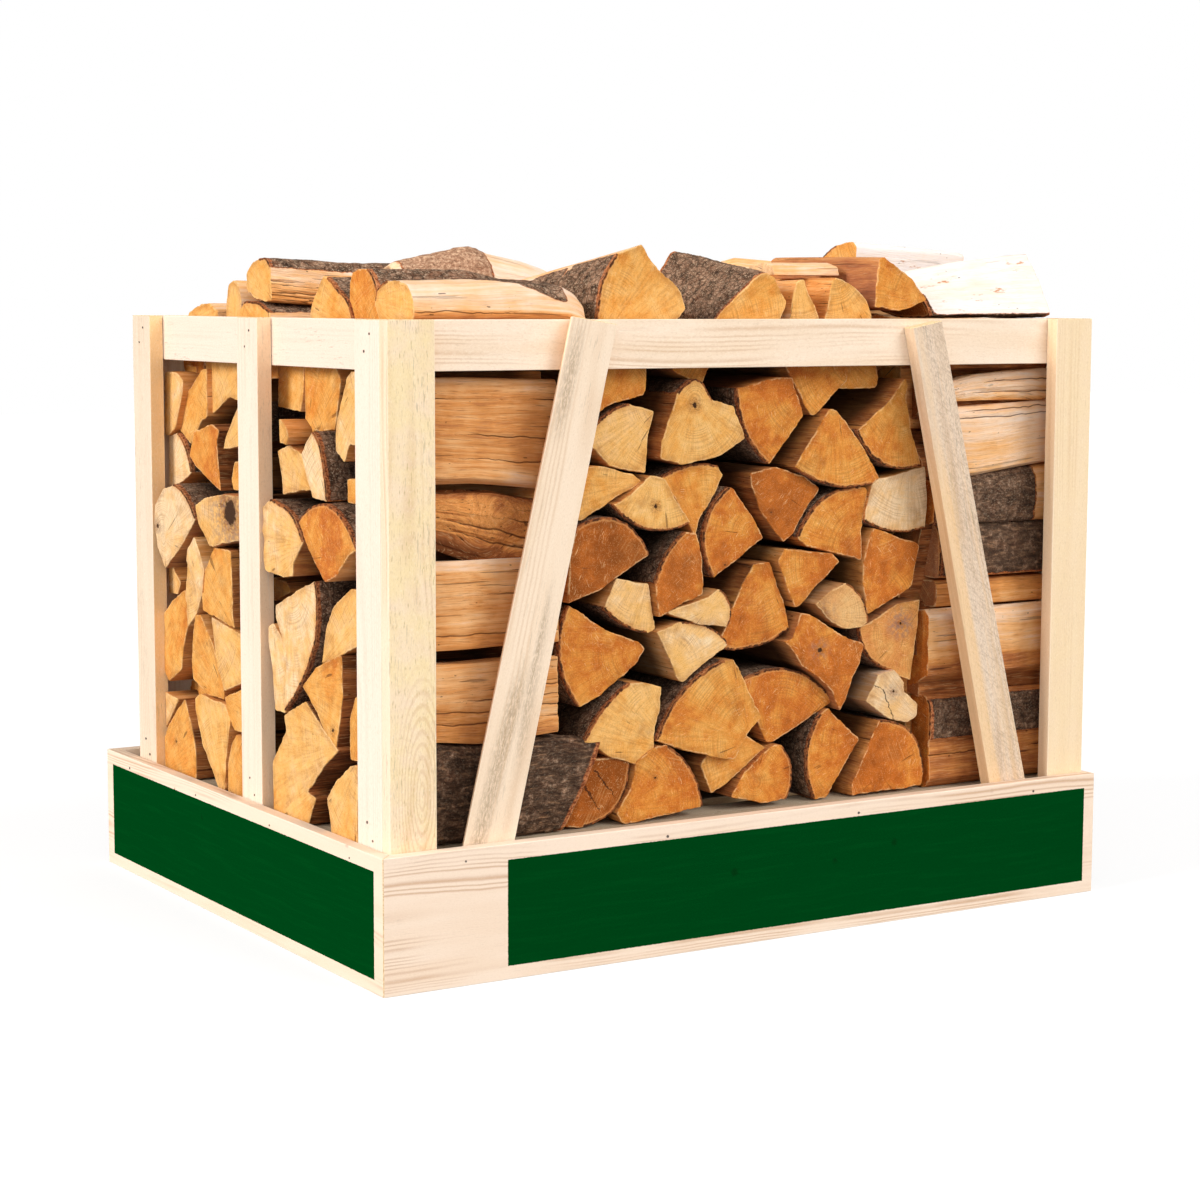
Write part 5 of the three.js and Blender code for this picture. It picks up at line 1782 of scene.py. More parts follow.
class PlinthSoftwood(Softwood):
    """Pinkish planed boards with a matt green panel on the outer face."""

    name = "plinth_softwood"
    early = 0xF3DCC6
    late = 0xE6C4A4
    line = 0xBC8A60
    lines_show = 0.6
    speckle = 0.14
    specular = 0.0
    low = (0.0, 0.0, 0.0)
    high = (0.0, 0.0, 0.0)
    green = 0x003D14

    def __init__(self, effects: Effects, name: str, low: Sequence[float], high: Sequence[float]) -> None:
        """Keeps the panel's corners in the row frame, then writes the finish."""
        self.name, self.low, self.high = name, tuple(low), tuple(high)
        super().__init__(effects)

    def over(self, colour: Any) -> Any:
        """Lays the green panel over the wood, with the grain faint in it.

        Args:
            colour: The wood's colour.

        Returns:
            The colour with the panel.
        """
        write = self.write
        place = write.add("ShaderNodeTexCoord").outputs["Object"]
        paint = write.group(self.effects.panel, Place=place, Low=self.low, High=self.high).outputs[0]
        spot = write.group(self.effects.spots, Place=place, Scale=13.0).outputs[0]
        colour = write.blend(spot, colour, 0x9A6236, 0.4)
        grain = write.group(self.effects.fibre, Place=write.attribute("grain"), Width=0.0016)
        thin = write.times(write.step(grain.outputs["Streak"], 0.45, 0.75), 0.3)
        green = write.blend(thin, self.green, 0x024A1A)
        green = write.blend(spot, green, 0x04300F, 0.8)
        return write.blend(paint, colour, green)


class PlainMetal(Finish):
    """Dull steel of the nail heads."""

    name = "nail_steel"
    roughness = 0.5
    relief = 0.0001

    def paint(self) -> tuple[Any, Any]:
        """Writes grey with a little rust.

        Returns:
            The colour and the height.
        """
        write = self.write
        place = write.add("ShaderNodeTexCoord").outputs["Object"]
        speck = write.noise(place, 900.0, 3.0)
        colour = write.blend(write.step(speck, 0.4, 0.7), 0x5B5753, 0x6B4630)
        return colour, speck


@dataclass
class Board:
    """A plank made from the eight corners of its CAD node, with eased edges and a slightly uneven face.

    uneven and ease are in millimetres, and knot has its place on the face and its radius. tint is how
    weathered the board is, flecks how many small dark flecks it has, and warm how yellow its broad faces are.
    undercut is how far its left flank falls back behind a thin edge. flank is how orange and fuzzy its narrow
    sides are, mottle how yellow and specked it is, flame how strong growth rings show as arches about the
    knot's place, and bleach how white it is. stains are streaks of dirt: each has two places (share of the
    width, level from the foot in millimetres) and its half width as a share of the width.
    """

    node: str
    tint: float = 0.0
    flecks: float = 0.3
    uneven: float = 0.25
    ease: float = 0.9
    knot: tuple[float, float, float] | None = None
    mirror_of: str | None = None
    seed: int = 0
    warm: float = 0.0
    undercut: float = 0.0
    stains: tuple[tuple[float, float, float, float, float], ...] = ()
    flank: float = 0.3
    mottle: float = 0.0
    flame: float = 0.0
    bleach: float = 0.0

    def stained(self, points: np.ndarray, width: float) -> np.ndarray:
        """Works out how dirty each place is, 0 to 1.

        Args:
            points: Places in the board's millimetres.
            width: The board's width in millimetres.

        Returns:
            A value at each place, from 0 to about 1.
        """
        dirt = np.zeros(len(points))
        for share, level, other_share, other_level, half in self.stains:
            middle = np.interp(points[:, 2], [level, other_level], [share, other_share])
            away = np.abs(points[:, 0] / width - middle) / half
            ends = np.minimum(points[:, 2] - level, other_level - points[:, 2]) / 60.0 + 0.3
            dirt = np.maximum(dirt, np.clip(1.3 - away, 0, 1) * np.clip(ends, 0, 1))
        return dirt

    def corners(self) -> np.ndarray:
        """Reads the node's eight corners, sorted by length, thickness and width.

        Returns:
            Shape (2, 2, 2, 3), in metres: end, side of the thickness, side of the width.
        """
        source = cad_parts[self.mirror_of or self.node].data
        flat = np.zeros(len(source.vertices) * 3)
        source.vertices.foreach_get("co", flat)
        points = np.unique(flat.reshape(-1, 3).round(5), axis=0)
        if self.mirror_of:
            points[:, 0] *= -1.0
        long_axis = int(np.argmax(np.ptp(points, axis=0)))
        points = points[np.argsort(points[:, long_axis], kind="stable")]
        rest = [axis for axis in range(3) if axis != long_axis]
        rest.sort(key=lambda axis: -np.ptp(points[:4, axis]))
        wide, thin = rest
        ends = []
        for four in (points[:4], points[-4:]):
            four = four[np.argsort(four[:, thin], kind="stable")]
            ends.append([pair[np.argsort(pair[:, wide], kind="stable")] for pair in (four[:2], four[2:])])
        return np.array(ends)

    def section(self, width: float, thick: float) -> tuple[np.ndarray, np.ndarray]:
        """Walks round the plank's section.

        Args:
            width: In millimetres.
            thick: In millimetres.

        Returns:
            Points counterclockwise from the low corner, and their outward normals.
        """
        ease = self.ease
        sides = (
            ((ease, 0), (width - ease, 0), (0, -1)), ((width, ease), (width, thick - ease), (1, 0)),
            ((width - ease, thick), (ease, thick), (0, 1)), ((0, thick - ease), (0, ease), (-1, 0)),
        )
        points, normals = [], []
        for start, end, normal in sides:
            start, end = np.array(start, float), np.array(end, float)
            count = max(1, round(float(np.abs(end - start).sum()) / 7.0))
            t = np.arange(count + 1)[:, None] / count
            points.append(start + (end - start) * t)
            normals.append(np.tile(np.array(normal, float), (count + 1, 1)))
        return np.concatenate(points), np.concatenate(normals)

    def surface(self) -> Surface:
        """Builds the plank's closed mesh with its values, in metres of the row frame.

        Returns:
            The surface, with slot 0 as its sides and slot 1 as its ends.
        """
        corners = self.corners()
        width = float(np.linalg.norm(corners[0, 0, 1] - corners[0, 0, 0])) / MM
        thick = float(np.linalg.norm(corners[0, 1, 0] - corners[0, 0, 0])) / MM
        length = float(np.linalg.norm(corners[1] - corners[0], axis=-1).max()) / MM
        outline, normals = self.section(width, thick)
        count = max(2, round(length / 18.0))
        w = np.concatenate([[self.ease], np.arange(1, count) * (length / count), [length - self.ease]])
        rings = np.concatenate([
            np.broadcast_to(outline, (len(w), *outline.shape)),
            np.broadcast_to(w[:, None, None], (len(w), len(outline), 1)),
        ], -1).copy()
        shifted = rings + self.seed * np.array([41.0, 17.0, 311.0])
        hollow = 0.5 + 0.5 * SURFACE_NOISE.at(shifted / np.array([9.0, 9.0, 60.0]))
        hollow += 0.5 + 0.5 * SURFACE_NOISE.at(shifted / np.array([40.0, 40.0, 220.0]))
        rings[..., :2] -= normals * (self.uneven * 0.5 * hollow)[..., None]
        heart = np.array([width, thick]) / 2.0
        caps = []
        for ring, place in ((rings[0], 0.0), (rings[-1], length)):
            inner = np.concatenate([ring[:, :2] - normals * self.ease, np.full((len(ring), 1), place)], 1)
            caps.append((inner[None], np.array([*heart, place])))
        points, quads, quad_slots, tris, tri_slots = closed_loft(rings, caps, 0, 1)
        across = np.where(np.abs(normals[:, 1]) > 0.5, np.minimum(outline[:, 0], width - outline[:, 0]),
                          np.minimum(outline[:, 1], thick - outline[:, 1]))
        rim = np.tile(across, len(w))
        ends = np.concatenate([across * 0.0, [10.0]])
        knot = self.knot or NO_KNOT
        narrow = np.concatenate([np.tile(np.abs(normals[:, 0]) > 0.5, len(w)), ends > 99, ends > 99])
        like = np.ones(len(points))
        values = {
            "grain": (points - np.array([*heart, 0.0])) * MM,
            "eye": np.stack([(points[:, 0] - knot[0]) / knot[2], (points[:, 2] - knot[1]) / knot[2],
                             points[:, 1] * MM], 1),
            "rim": np.concatenate([rim, ends, ends]) * MM,
            "bark": narrow * self.flank,
            "look": np.stack([self.tint * like, self.flecks * like, self.warm * (1 - narrow)], 1),
            "seed": np.full(len(points), self.seed * SEED_STEP % 1.0),
            "crack": self.stained(points, width),
            "marks": np.stack([self.mottle * (1 - narrow), self.flame * like, self.bleach * like], 1),
        }
        back = np.clip((points[:, 1] - 5.0) / (thick - 5.0), 0, 1) * (1.0 - points[:, 0] / width)
        points[:, 0] += self.undercut * back
        share = points / np.array([width, thick, length])
        placed = np.zeros_like(points)
        for end in range(2):
            for side in range(2):
                for edge in range(2):
                    weights = (share[:, 2] if end else 1 - share[:, 2]) * (share[:, 1] if side else 1 - share[:, 1])
                    weights = weights * (share[:, 0] if edge else 1 - share[:, 0])
                    placed += weights[:, None] * corners[end, side, edge]
        axes = np.stack([corners[0, 0, 1] - corners[0, 0, 0], corners[0, 1, 0] - corners[0, 0, 0],
                         corners[1, 0, 0] - corners[0, 0, 0]])
        made = Surface(placed, quads, quad_slots, tris, tri_slots, values)
        return made if np.linalg.det(axes) > 0 else made.flipped()


def finish_piece(piece: bpy.types.Object, nodes: Sequence[str] = ()) -> bpy.types.Object:
    """Makes a piece ride on the crate and stand for its CAD nodes, and reports it.

    Args:
        piece: The Blender object.
        nodes: The CAD nodes that it stands for.

    Returns:
        The same object.
    """
    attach(piece, BODY)
    if nodes:
        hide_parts(*nodes)
    LOG.info("%s: %d faces", piece.name, len(piece.data.polygons))
    return piece


@dataclass
class Plinth:
    """Four mitred boards with a green panel on each outer face. Panel edges are in crate millimetres."""

    panel_foot: float = 17.0
    panel_top: float = 150.0
    front_panel: tuple[float, float] = (151.0, 1083.5)
    back_panel: tuple[float, float] = (4.5, 1077.5)
    side_panel: tuple[float, float] = (4.5, 855.0)
    skin: float = 2.5

    def panel(self, node: str) -> tuple[np.ndarray, np.ndarray]:
        """Works out the low and high corner of a board's panel in the row frame.

        Args:
            node: The board's CAD node.

        Returns:
            The low and the high corner, in metres.
        """
        low, high = (np.array(corner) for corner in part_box(node))
        corner, skin = crate_corner(), self.skin * MM
        low[2], high[2] = self.panel_foot * MM, self.panel_top * MM
        if node.endswith(("front", "back")):
            edges = self.front_panel if node.endswith("front") else self.back_panel
            low[0], high[0] = (corner[0] + edge * MM for edge in edges)
            low[1], high[1] = (low[1] - skin, low[1] + skin) if node.endswith("front") else (
                high[1] - skin, high[1] + skin)
        else:
            low[1], high[1] = (corner[1] + edge * MM for edge in self.side_panel)
            low[0], high[0] = (low[0] - skin, low[0] + skin) if node.endswith("left") else (
                high[0] - skin, high[0] + skin)
        return low, high

    def build(self, effects: Effects, end: bpy.types.Material) -> None:
        """Makes and dresses the four boards.

        Args:
            effects: The shared groups.
            end: The material of sawn ends.
        """
        knots = {"front": (26, 240, 4), "left": (150, 640, 3), "right": (22, 300, 4), "back": (30, 500, 4)}
        for i, side in enumerate(("front", "right", "back", "left")):
            node = f"plinth_board_{side}"
            finish = PlinthSoftwood(effects, f"plinth_{side}", *self.panel(node))
            board = Board(node, 0.05, 0.12, 0.2, 0.8, knots[side], "plinth_board_left" if side == "right" else None,
                          seed=31 + i, flank=0.0)
            piece = board.surface().to_object(f"{node}_timber", (finish.material, end))
            finish_piece(piece, [node])


@dataclass
class CrateFrame:
    """The crate's uprights, rails and slanted braces."""

    boards: tuple[Board, ...] = (
        Board("corner_front_left_face", 0.05, 0.4, 0.6, knot=(44, 75, 5), warm=0.25, flank=0.1, mottle=0.75,
              flame=1.0),
        Board("corner_front_left_side", 0.0, 0.1, 0.3, bleach=0.7, flank=0.05),
        Board("corner_front_right_face", 0.12, 0.0, 0.5, warm=0.5, mottle=0.2),
        Board("corner_front_right_side", 0.25, 0.3, 0.4, warm=0.7, flank=0.45),
        Board("corner_back_left_side", 0.55, 0.4, 0.9, flank=0.7),
        Board("corner_back_left_face", 0.15, 0.4, 0.4),
        Board("corner_back_right_side", 0.1, 0.3, 0.4),
        Board("corner_back_right_face", 0.1, 0.4, 0.4, knot=(30, 300, 5)),
        # Its flank value of 1 makes its front-facing flank fully orange: partly the sawn edge's colour, partly painted
        # light on a flank in shade.
        Board("middle_post_left", 0.15, 0.2, 0.5, flank=1.0, bleach=0.5),
        Board("middle_post_right", 0.1, 0.3, 0.4),
        Board("rail_front", 0.0, 0.1, 0.35, knot=(30, 260, 3)),
        Board("rail_back", 0.1, 0.3, 0.4, knot=(30, 700, 5)),
        Board("rail_left", 0.35, 0.3, 0.4, bleach=0.6),
        Board("rail_right", 0.1, 0.3, 0.4, knot=(25, 500, 5)),
        Board("brace_front_left", 0.12, 0.25, 1.0, warm=0.15, undercut=14.0, bleach=0.1,
              stains=((0.2, -60.0, 0.48, 230.0, 0.17), (0.2, 520.0, 0.22, 660.0, 0.15),
                      (0.75, 100.0, 0.7, 330.0, 0.08))),
        Board("brace_back_left", 0.1, 0.3, 0.5),
    )
    sawn: tuple[Board, ...] = (
        Board("brace_front_right", 0.15, 0.5, 1.0, flank=0.15),
        Board("brace_back_right", 0.25, 0.5, 1.0),
    )

    def build(self, plain: bpy.types.Material, rough: bpy.types.Material, end: bpy.types.Material) -> None:
        """Makes and dresses every board of the frame.

        Args:
            plain: The planed wood.
            rough: The rough sawn wood.
            end: The material of sawn ends.
        """
        for boards, material, slot in ((self.boards, plain, "frame_board"), (self.sawn, rough, "sawn_board")):
            for i, board in enumerate(boards):
                surface = replace(board, seed=i + 3).surface()
                piece = surface.to_object(f"{board.node}_timber", (material, end))
                finish_piece(piece, [board.node])


@dataclass
class Nails:
    """Small nail heads that follow the boards' ends, made by Geometry Nodes. Sizes are in millimetres."""

    head_radius: float = 1.6
    head_height: float = 0.9
    spread: float = 0.2
    seed: int = 5
    insets: tuple[tuple[float, float], ...] = ((17.0, 0.38), (38.0, 0.6))
    plinth_shares: tuple[float, ...] = (0.1, 0.36, 0.63, 0.9)
    plinth_level: float = 154.5

    def places(self, boards: Sequence[Board]) -> tuple[np.ndarray, np.ndarray]:
        """Finds where nails go on the outer faces.

        Args:
            boards: The uprights that are nailed at both ends: the corner posts' side boards and the middle posts, as
                main gives them.

        Returns:
            Points and outward directions, in the row frame.
        """
        points, facings = [], []
        for board in boards:
            corners = board.corners()
            outer = int(abs(corners[:, 1].mean((0, 1))[:2]).max() > abs(corners[:, 0].mean((0, 1))[:2]).max())
            facing = (corners[:, outer] - corners[:, 1 - outer]).mean((0, 1))
            along = corners[1, outer] - corners[0, outer]
            length = float(np.linalg.norm(along.mean(0))) / MM
            for end in range(2):
                for inset, share in self.insets:
                    part = inset / length if end == 0 else 1.0 - inset / length
                    line = corners[0, outer] + along * part
                    points.append(line[0] + (line[1] - line[0]) * share)
                    facings.append(facing / np.linalg.norm(facing))
        for side, axis, sign in (("front", 1, -1.0), ("back", 1, 1.0), ("left", 0, -1.0), ("right", 0, 1.0)):
            low, high = (np.array(corner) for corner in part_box(f"plinth_board_{side}"))
            for share in self.plinth_shares:
                place = low + (high - low) * share
                place[axis], place[2] = (low if sign < 0 else high)[axis], self.plinth_level * MM
                points.append(place)
                facings.append(np.eye(3)[axis] * sign)
        return np.array(points), np.array(facings)

    @staticmethod
    def tree() -> tuple[bpy.types.NodeTree, dict[str, str]]:
        """Builds the tree that sets a head on each point.

        Returns:
            The tree, and the identifier of each of its inputs.
        """
        tree = bpy.data.node_groups.new("nail_heads", "GeometryNodeTree")
        tree.interface.new_socket(name="Geometry", in_out="INPUT", socket_type="NodeSocketGeometry")
        kinds = {"Head Radius": "Float", "Head Height": "Float", "Spread": "Float", "Seed": "Int", "Steel": "Material"}
        names = {
            name: tree.interface.new_socket(name=name, in_out="INPUT", socket_type=f"NodeSocket{kind}").identifier
            for name, kind in kinds.items()
        }
        tree.interface.new_socket(name="Geometry", in_out="OUTPUT", socket_type="NodeSocketGeometry")
        write = NodeWriter(tree)
        given = write.add("NodeGroupInput").outputs
        shape = {"Vertices": 10, "Radius": given["Head Radius"], "Depth": given["Head Height"]}
        head = write.add("GeometryNodeMeshCylinder", shape)
        facing = write.add("GeometryNodeInputNamedAttribute", {"Name": "facing"}, data_type="FLOAT_VECTOR")
        turn = write.add("FunctionNodeAlignRotationToVector", {"Vector": facing.outputs["Attribute"]}, axis="Z")
        low, high = write.less(1.0, given["Spread"]), write.plus(1.0, given["Spread"])
        size = write.add("FunctionNodeRandomValue", {2: low, 3: high, "Seed": given["Seed"]}, data_type="FLOAT")
        heads = write.add("GeometryNodeInstanceOnPoints", {
            "Points": given["Geometry"], "Instance": head.outputs["Mesh"], "Rotation": turn.outputs[0],
            "Scale": size.outputs[1],
        })
        real = write.add("GeometryNodeRealizeInstances", {"Geometry": heads.outputs[0]})
        dressed = write.add("GeometryNodeSetMaterial", {"Geometry": real.outputs[0], "Material": given["Steel"]})
        write.add("NodeGroupOutput", {"Geometry": dressed.outputs[0]})
        return tree, names

    def build(self, boards: Sequence[Board], steel: bpy.types.Material) -> None:
        """Makes all the nail heads as one plain mesh.

        Args:
            boards: The boards that are nailed.
            steel: The nails' material.
        """
        points, facings = self.places(boards)
        mesh = bpy.data.meshes.new("nail_places")
        mesh.from_pydata(points.tolist(), [], [])
        mesh.attributes.new("facing", "FLOAT_VECTOR", "POINT").data.foreach_set("vector", facings.ravel())
        holder = bpy.data.objects.new("nail_places", mesh)
        bpy.context.scene.collection.objects.link(holder)
        modifier = holder.modifiers.new("heads", "NODES")
        modifier.node_group, names = self.tree()
        modifier[names["Head Radius"]] = self.head_radius * MM
        modifier[names["Head Height"]] = self.head_height * MM
        modifier[names["Spread"]] = self.spread
        modifier[names["Seed"]] = self.seed
        modifier[names["Steel"]] = steel
        whole = holder.evaluated_get(bpy.context.evaluated_depsgraph_get())
        plain = bpy.data.meshes.new_from_object(whole)
        bpy.data.objects.remove(holder)
        piece = bpy.data.objects.new("nail_heads", plain)
        bpy.context.scene.collection.objects.link(piece)
        finish_piece(piece)


@dataclass
class Pallet:
    """Deck boards and bearers under the logs."""

    deck_boards: int = 5
    bearers: int = 3

    def build(self, material: bpy.types.Material, end: bpy.types.Material) -> None:
        """Makes and dresses the pallet's boards.

        Args:
            material: The boards' material.
            end: The material of sawn ends.
        """
        names = [f"deck_board_{i + 1}" for i in range(self.deck_boards)]
        names += [f"pallet_bearer_{i + 1}" for i in range(self.bearers)]
        for i, name in enumerate(names):
            board = Board(name, 0.2, 0.7, 0.7, seed=50 + i)
            finish_piece(board.surface().to_object(f"{name}_timber", (material, end)), [name])


@dataclass
class LogStacks:
    """The logs that stand end-on in three rows, the caps on them, and the columns behind the back braces.

    second_row is where the middle row starts, and inner_mirror turns the front's outlines round for it.
    left_painted_light is added to the left ends' tones: painted light that lightens the brightly lit left side's ends
    above the same ends on the right. Each column's two numbers are where its logs start and end.
    """

    materials: tuple[bpy.types.Material, bpy.types.Material]
    second_row: float = 302.0
    inner_mirror: float = 1126.0
    left_painted_light: float = 0.19
    left_column: tuple[float, float] = (60.0, 244.0)
    right_column: tuple[float, float] = (852.0, 1036.0)
    bed: tuple[CapRow, ...] = (
        CapRow(Lie.ALONG_Y, 6, 350, 88, 764, 58, 298, 0.5),
        CapRow(Lie.ALONG_Y, 6, 350, 88, 738, 302, 542),
        CapRow(Lie.ALONG_Y, 6, 350, 88, 800, 548, 753),
        CapRow(Lie.ALONG_Y, 6, 346, 89, 748, 552, 757),
        CapRow(Lie.ALONG_X, 1, 382, 0, 762, 52, 200),
        CapRow(Lie.ALONG_X, 4, 476, 84, 752, 62, 290, 0.9),
        CapRow(Lie.ALONG_X, 5, 350, 86, 806, 852, 1050),
        CapRow(Lie.ALONG_X, 7, 246, 78, 752, 856, 1044),
    )
    loose: tuple[LyingLog, ...] = (
        LyingLog("", 872, 1072, Looks(.12, .7, grey=.25, dark=.8), (
            (50, 452, 2), (48, 505, 2), (60, 527, 2), (96, 524), (96, 450))),
        LyingLog("", 872, 1072, Looks(.1, .65, grey=.15), ((56, 411), (54, 436), (62, 447), (96, 446), (96, 410))),
        LyingLog("", 48, 290, Looks(.45, .5), ((600, 262), (598, 300), (640, 318), (692, 306), (694, 268))),
        LyingLog("", 90, 290, Looks(.4, .5), (
            (762, 756), (762, 800), (790, 814), (832, 804), (834, 756)), Lie.ALONG_Y),
        LyingLog("", 852, 1070, Looks(.4, .4), ((205, 790), (215, 828), (300, 830), (312, 790))),
        # The last four fill gaps behind the right column; their very dark tones are painted shade.
        LyingLog("", 852, 1074, Looks(.08, .9, grey=.1), ((66, 286), (66, 330), (80, 416), (130, 425), (160, 300))),
        LyingLog("", 852, 1074, Looks(.08, .9, grey=.1), ((92, 420), (66, 515), (66, 534), (120, 548), (160, 430))),
        LyingLog("", 852, 1074, Looks(.08, .9, grey=.1), ((92, 550), (66, 594), (66, 612), (130, 672), (160, 560))),
        LyingLog("", 852, 1074, Looks(.08, .9, grey=.1), (
            (92, 668), (66, 686), (66, 700), (90, 730), (66, 738), (66, 770), (130, 778), (160, 680))),
    )

    @staticmethod
    def row(
        ends: Sequence[End], lie: Lie, seed: int, detail: Detail, far: float | None = None,
    ) -> list[FirewoodLog]:
        """Makes a row of full-length logs from the ends that show.

        Args:
            ends: Their outlines, set-backs and tones.
            lie: Which way the logs lie.
            seed: The first log's own number.
            detail: How finely they are made.
            far: The crate's size along them, where the ends show on its far side.

        Returns:
            The logs.
        """
        made = []
        for i, end in enumerate(ends):
            start = end.back if far is None else far - end.back - STACK_LOG_LENGTH
            corners = [(c[0], max(c[1], DECK_TOP + 1.5), *c[2:]) for c in end.at]
            looks = Looks(end.tone, end.side, end.knot, grey=end.grey, heart=end.heart, smudge=end.smudge, deep=1.5,
                          fissures=end.fissures)
            made.append(FirewoodLog(lie, start, STACK_LOG_LENGTH, corners, looks, seed + i, detail))
        return made

    def cap_logs(self) -> list[FirewoodLog]:
        """Gives the rows that cap the stacks and the few loose ones between.

        Returns:
            The logs.
        """
        logs = [log for i, row in enumerate(self.bed) for log in row.logs(500 + 20 * i, BACK_DETAIL)]
        for i, lying in enumerate(self.loose):
            logs.append(lying_log(lying, 650 + i, 5.0, 12.0))
        return logs

    def column_logs(self, right: bool) -> list[FirewoodLog]:
        """Gives the logs that lie along the back of a side stack, the front column's turned round.

        Args:
            right: True for the right stack.

        Returns:
            The logs.
        """
        made = []
        for i, lying in enumerate(LEFT_COLUMN):
            corners = tuple((CRATE_DEPTH - c[0], c[1]) for c in lying.at)[::-1]
            start, end = self.right_column if right else self.left_column
            turned = replace(lying, at=corners, start=start, end=end, course=None)
            made.append(lying_log(turned, 700 + 10 * right + i, 4.6, 12.0))
        return made

    def build(self) -> None:
        """Makes the joined meshes of the stacks, which stand for the three solids.

        The back repeats the front's outlines straight through the crate, the middle row has them mirrored so
        that it closes the gaps, and the right is the left mirrored.
        """
        middle, left, right = "log_stack_middle", "log_stack_left", "log_stack_right"
        inner = [
            replace(end, at=tuple((self.inner_mirror - c[0], *c[1:]) for c in end.at), back=self.second_row)
            for end in FRONT_ENDS
        ]
        # Painted light: the left ends are lighter copies of the right ends, for the brightly lit left side.
        lit_left_ends = [replace(end, tone=min(end.tone + self.left_painted_light, 0.95)) for end in SIDE_ENDS]
        groups = (
            ("logs_front_row", self.row(FRONT_ENDS, Lie.ALONG_Y, 0, NEAR_DETAIL), middle),
            ("logs_middle_row", self.row(inner, Lie.ALONG_Y, 400, HIDDEN_DETAIL), middle),
            ("logs_back_row", self.row(FRONT_ENDS, Lie.ALONG_Y, 100, BACK_DETAIL, CRATE_DEPTH), middle),
            ("logs_left_row", self.row(lit_left_ends, Lie.ALONG_X, 200, NEAR_DETAIL), left),
            ("logs_right_row", self.row(SIDE_ENDS, Lie.ALONG_X, 300, BACK_DETAIL, CRATE_WIDTH), right),
            ("logs_capping", self.cap_logs(), middle),
            ("logs_back_left_column", self.column_logs(False), left),
            ("logs_back_right_column", self.column_logs(True), right),
        )
        for name, logs, node in groups:
            surface = Surface.joined([log.surface() for log in logs])
            finish_piece(surface.to_object(name, self.materials), [node])


def lying_log(lying: LyingLog, seed: int, step: float, spacing: float) -> FirewoodLog:
    """Makes a log that shows along its whole length.

    Args:
        lying: Its place, looks and section.
        seed: Its own number.
        step: Distance between points round it, in millimetres.
        spacing: Distance between rings along it, in millimetres.

    Returns:
        The log.
    """
    length = lying.end - lying.start
    detail = Detail.even(step, spacing, length)
    return FirewoodLog(lying.lie, lying.start, length, lying.at, lying.looks, seed, detail, lying.course, lying.relief)


@dataclass
class LyingLogs:
    """The columns at the front and the heap above the rails, each log a piece of its own."""

    materials: tuple[bpy.types.Material, bpy.types.Material]
    step: float = 3.0
    spacing: float = 5.4
    near_step: float = 2.2
    near_spacing: float = 5.0

    def build(self) -> None:
        """Makes each log in place of its CAD node."""
        columns = len(LEFT_COLUMN) + len(RIGHT_COLUMN)
        for i, lying in enumerate((*LEFT_COLUMN, *RIGHT_COLUMN, *HEAP)):
            step, spacing = (self.near_step, self.near_spacing) if i < columns else (self.step, self.spacing)
            log = lying_log(lying, 800 + i, step, spacing)
            finish_piece(log.surface().to_object(f"{lying.node}_wood", self.materials), [lying.node])


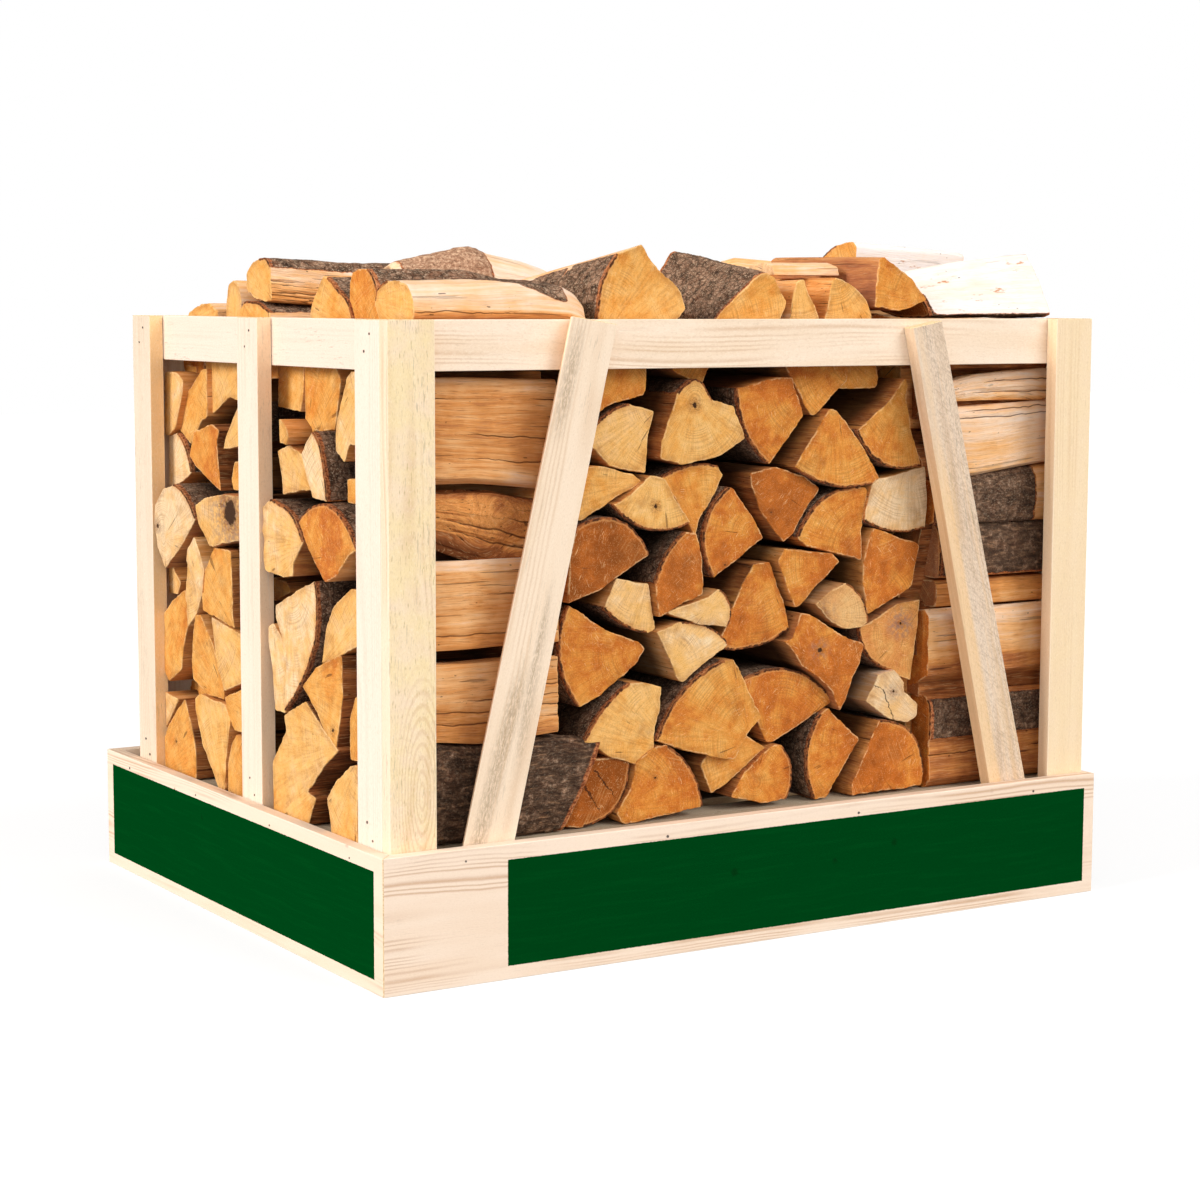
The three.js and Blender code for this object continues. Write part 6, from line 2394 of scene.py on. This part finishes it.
@dataclass
class Studio:
    """Pale floor, white surroundings, soft lamps, and the camera at the photo's angle."""

    camera_place: tuple[float, float, float] = (-1.4074, -2.7653, 0.8307)
    yaw: float = 31.6077
    pitch: float = 6.5199
    roll: float = 0.1699
    lens: float = 78.78
    floor_size: float = 30.0
    fill: float = 0.35
    glow: float = 0.75

    def build(self) -> None:
        """Makes the stage, the lamps and the camera."""
        self.make_floor()
        self.make_world()
        self.lamp("key_lamp", (0.45, -0.75, 0.55), 42.0, 0.7)
        self.lamp("left_lamp", (-0.9, 0.05, 0.42), 28.0, 0.95, (1.0, 0.945, 0.9))
        self.lamp("front_lamp", (-0.5, -0.8, 0.3), 50.0, 0.32)
        self.make_camera()

    def make_floor(self) -> None:
        """Makes the floor, which is not part of the object."""
        half = self.floor_size / 2.0
        mesh = bpy.data.meshes.new("floor")
        mesh.from_pydata([(-half, -half, 0), (half, -half, 0), (half, half, 0), (-half, half, 0)], [], [(0, 1, 2, 3)])
        material = bpy.data.materials.new("floor_white")
        material.use_nodes = True
        shader = material.node_tree.nodes["Principled BSDF"]
        shader.inputs["Base Color"].default_value = (0.3, 0.3, 0.3, 1.0)
        shader.inputs["Roughness"].default_value = 0.9
        shader.inputs["Specular IOR Level"].default_value = 0.0
        shader.inputs["Emission Color"].default_value = (1.0, 1.0, 1.0, 1.0)
        shader.inputs["Emission Strength"].default_value = self.glow
        mesh.materials.append(material)
        floor = bpy.data.objects.new("floor", mesh)
        floor.visible_diffuse = False
        bpy.context.scene.collection.objects.link(floor)

    def make_world(self) -> None:
        """Surrounds the scene with even white."""
        world = bpy.data.worlds.new("white_room")
        world.use_nodes = True
        write = NodeWriter(world.node_tree)
        seen = write.add("ShaderNodeLightPath").outputs["Is Camera Ray"]
        strength = write.plus(self.fill, write.times(seen, 1.0 - self.fill))
        world.node_tree.links.new(strength, world.node_tree.nodes["Background"].inputs["Strength"])
        world.node_tree.nodes["Background"].inputs["Color"].default_value = (1.0, 1.0, 1.0, 1.0)
        bpy.context.scene.world = world
        bpy.context.scene.view_settings.view_transform = "Standard"

    def lamp(
        self, name: str, toward: Sequence[float], spread: float, strength: float,
        tint: tuple[float, float, float] = (1.0, 1.0, 1.0),
    ) -> None:
        """Adds a large, far, soft lamp.

        Args:
            name: Its name.
            toward: The direction from the crate to the lamp.
            spread: How wide it looks from the crate, in degrees.
            strength: How bright it makes a white face that is turned to it, where 1 is white.
            tint: The light's colour.
        """
        data = bpy.data.lights.new(name, "SUN")
        data.angle, data.energy, data.color = math.radians(spread), strength * math.pi, tint
        lamp = bpy.data.objects.new(name, data)
        lamp.rotation_euler = (-Vector(toward)).to_track_quat("-Z", "Y").to_euler()
        bpy.context.scene.collection.objects.link(lamp)

    def make_camera(self) -> None:
        """Sets the camera where the photo was taken from."""
        yaw, pitch, roll = (math.radians(angle) for angle in (self.yaw, self.pitch, self.roll))
        ahead = Vector((math.sin(yaw) * math.cos(pitch), math.cos(yaw) * math.cos(pitch), -math.sin(pitch)))
        level = ahead.cross(BLENDER_UP).normalized()
        upright = level.cross(ahead)
        right = level * math.cos(roll) + upright * math.sin(roll)
        above = right.cross(ahead)
        data = bpy.data.cameras.new("camera")
        data.lens = self.lens
        camera = bpy.data.objects.new("camera", data)
        place = Vector(self.camera_place) + Vector(crate_corner())
        turn = Matrix((right, above, -ahead)).transposed().to_4x4()
        camera.matrix_world = Matrix.Translation(place) @ turn
        bpy.context.scene.collection.objects.link(camera)
        bpy.context.scene.camera = camera


def main() -> None:
    """Builds the stage, the finishes and every part of the crate in order."""
    logging.basicConfig(level=logging.INFO, format="%(name)s: %(message)s")
    Studio().build()
    effects = Effects()
    side, end = BeechSide(effects).material, BeechEnd(effects).material
    lath_end = SoftwoodEnd(effects).material
    Plinth().build(effects, lath_end)
    Pallet().build(DeckSoftwood(effects).material, lath_end)
    crate = CrateFrame()
    crate.build(Softwood(effects).material, SawnSoftwood(effects).material, lath_end)
    nailed = [board for board in crate.boards if board.node.endswith("side") or board.node.startswith("middle")]
    Nails().build(nailed, PlainMetal(effects).material)
    LogStacks((side, end)).build()
    LyingLogs((side, end)).build()


if __name__ == "__main__":
    main()
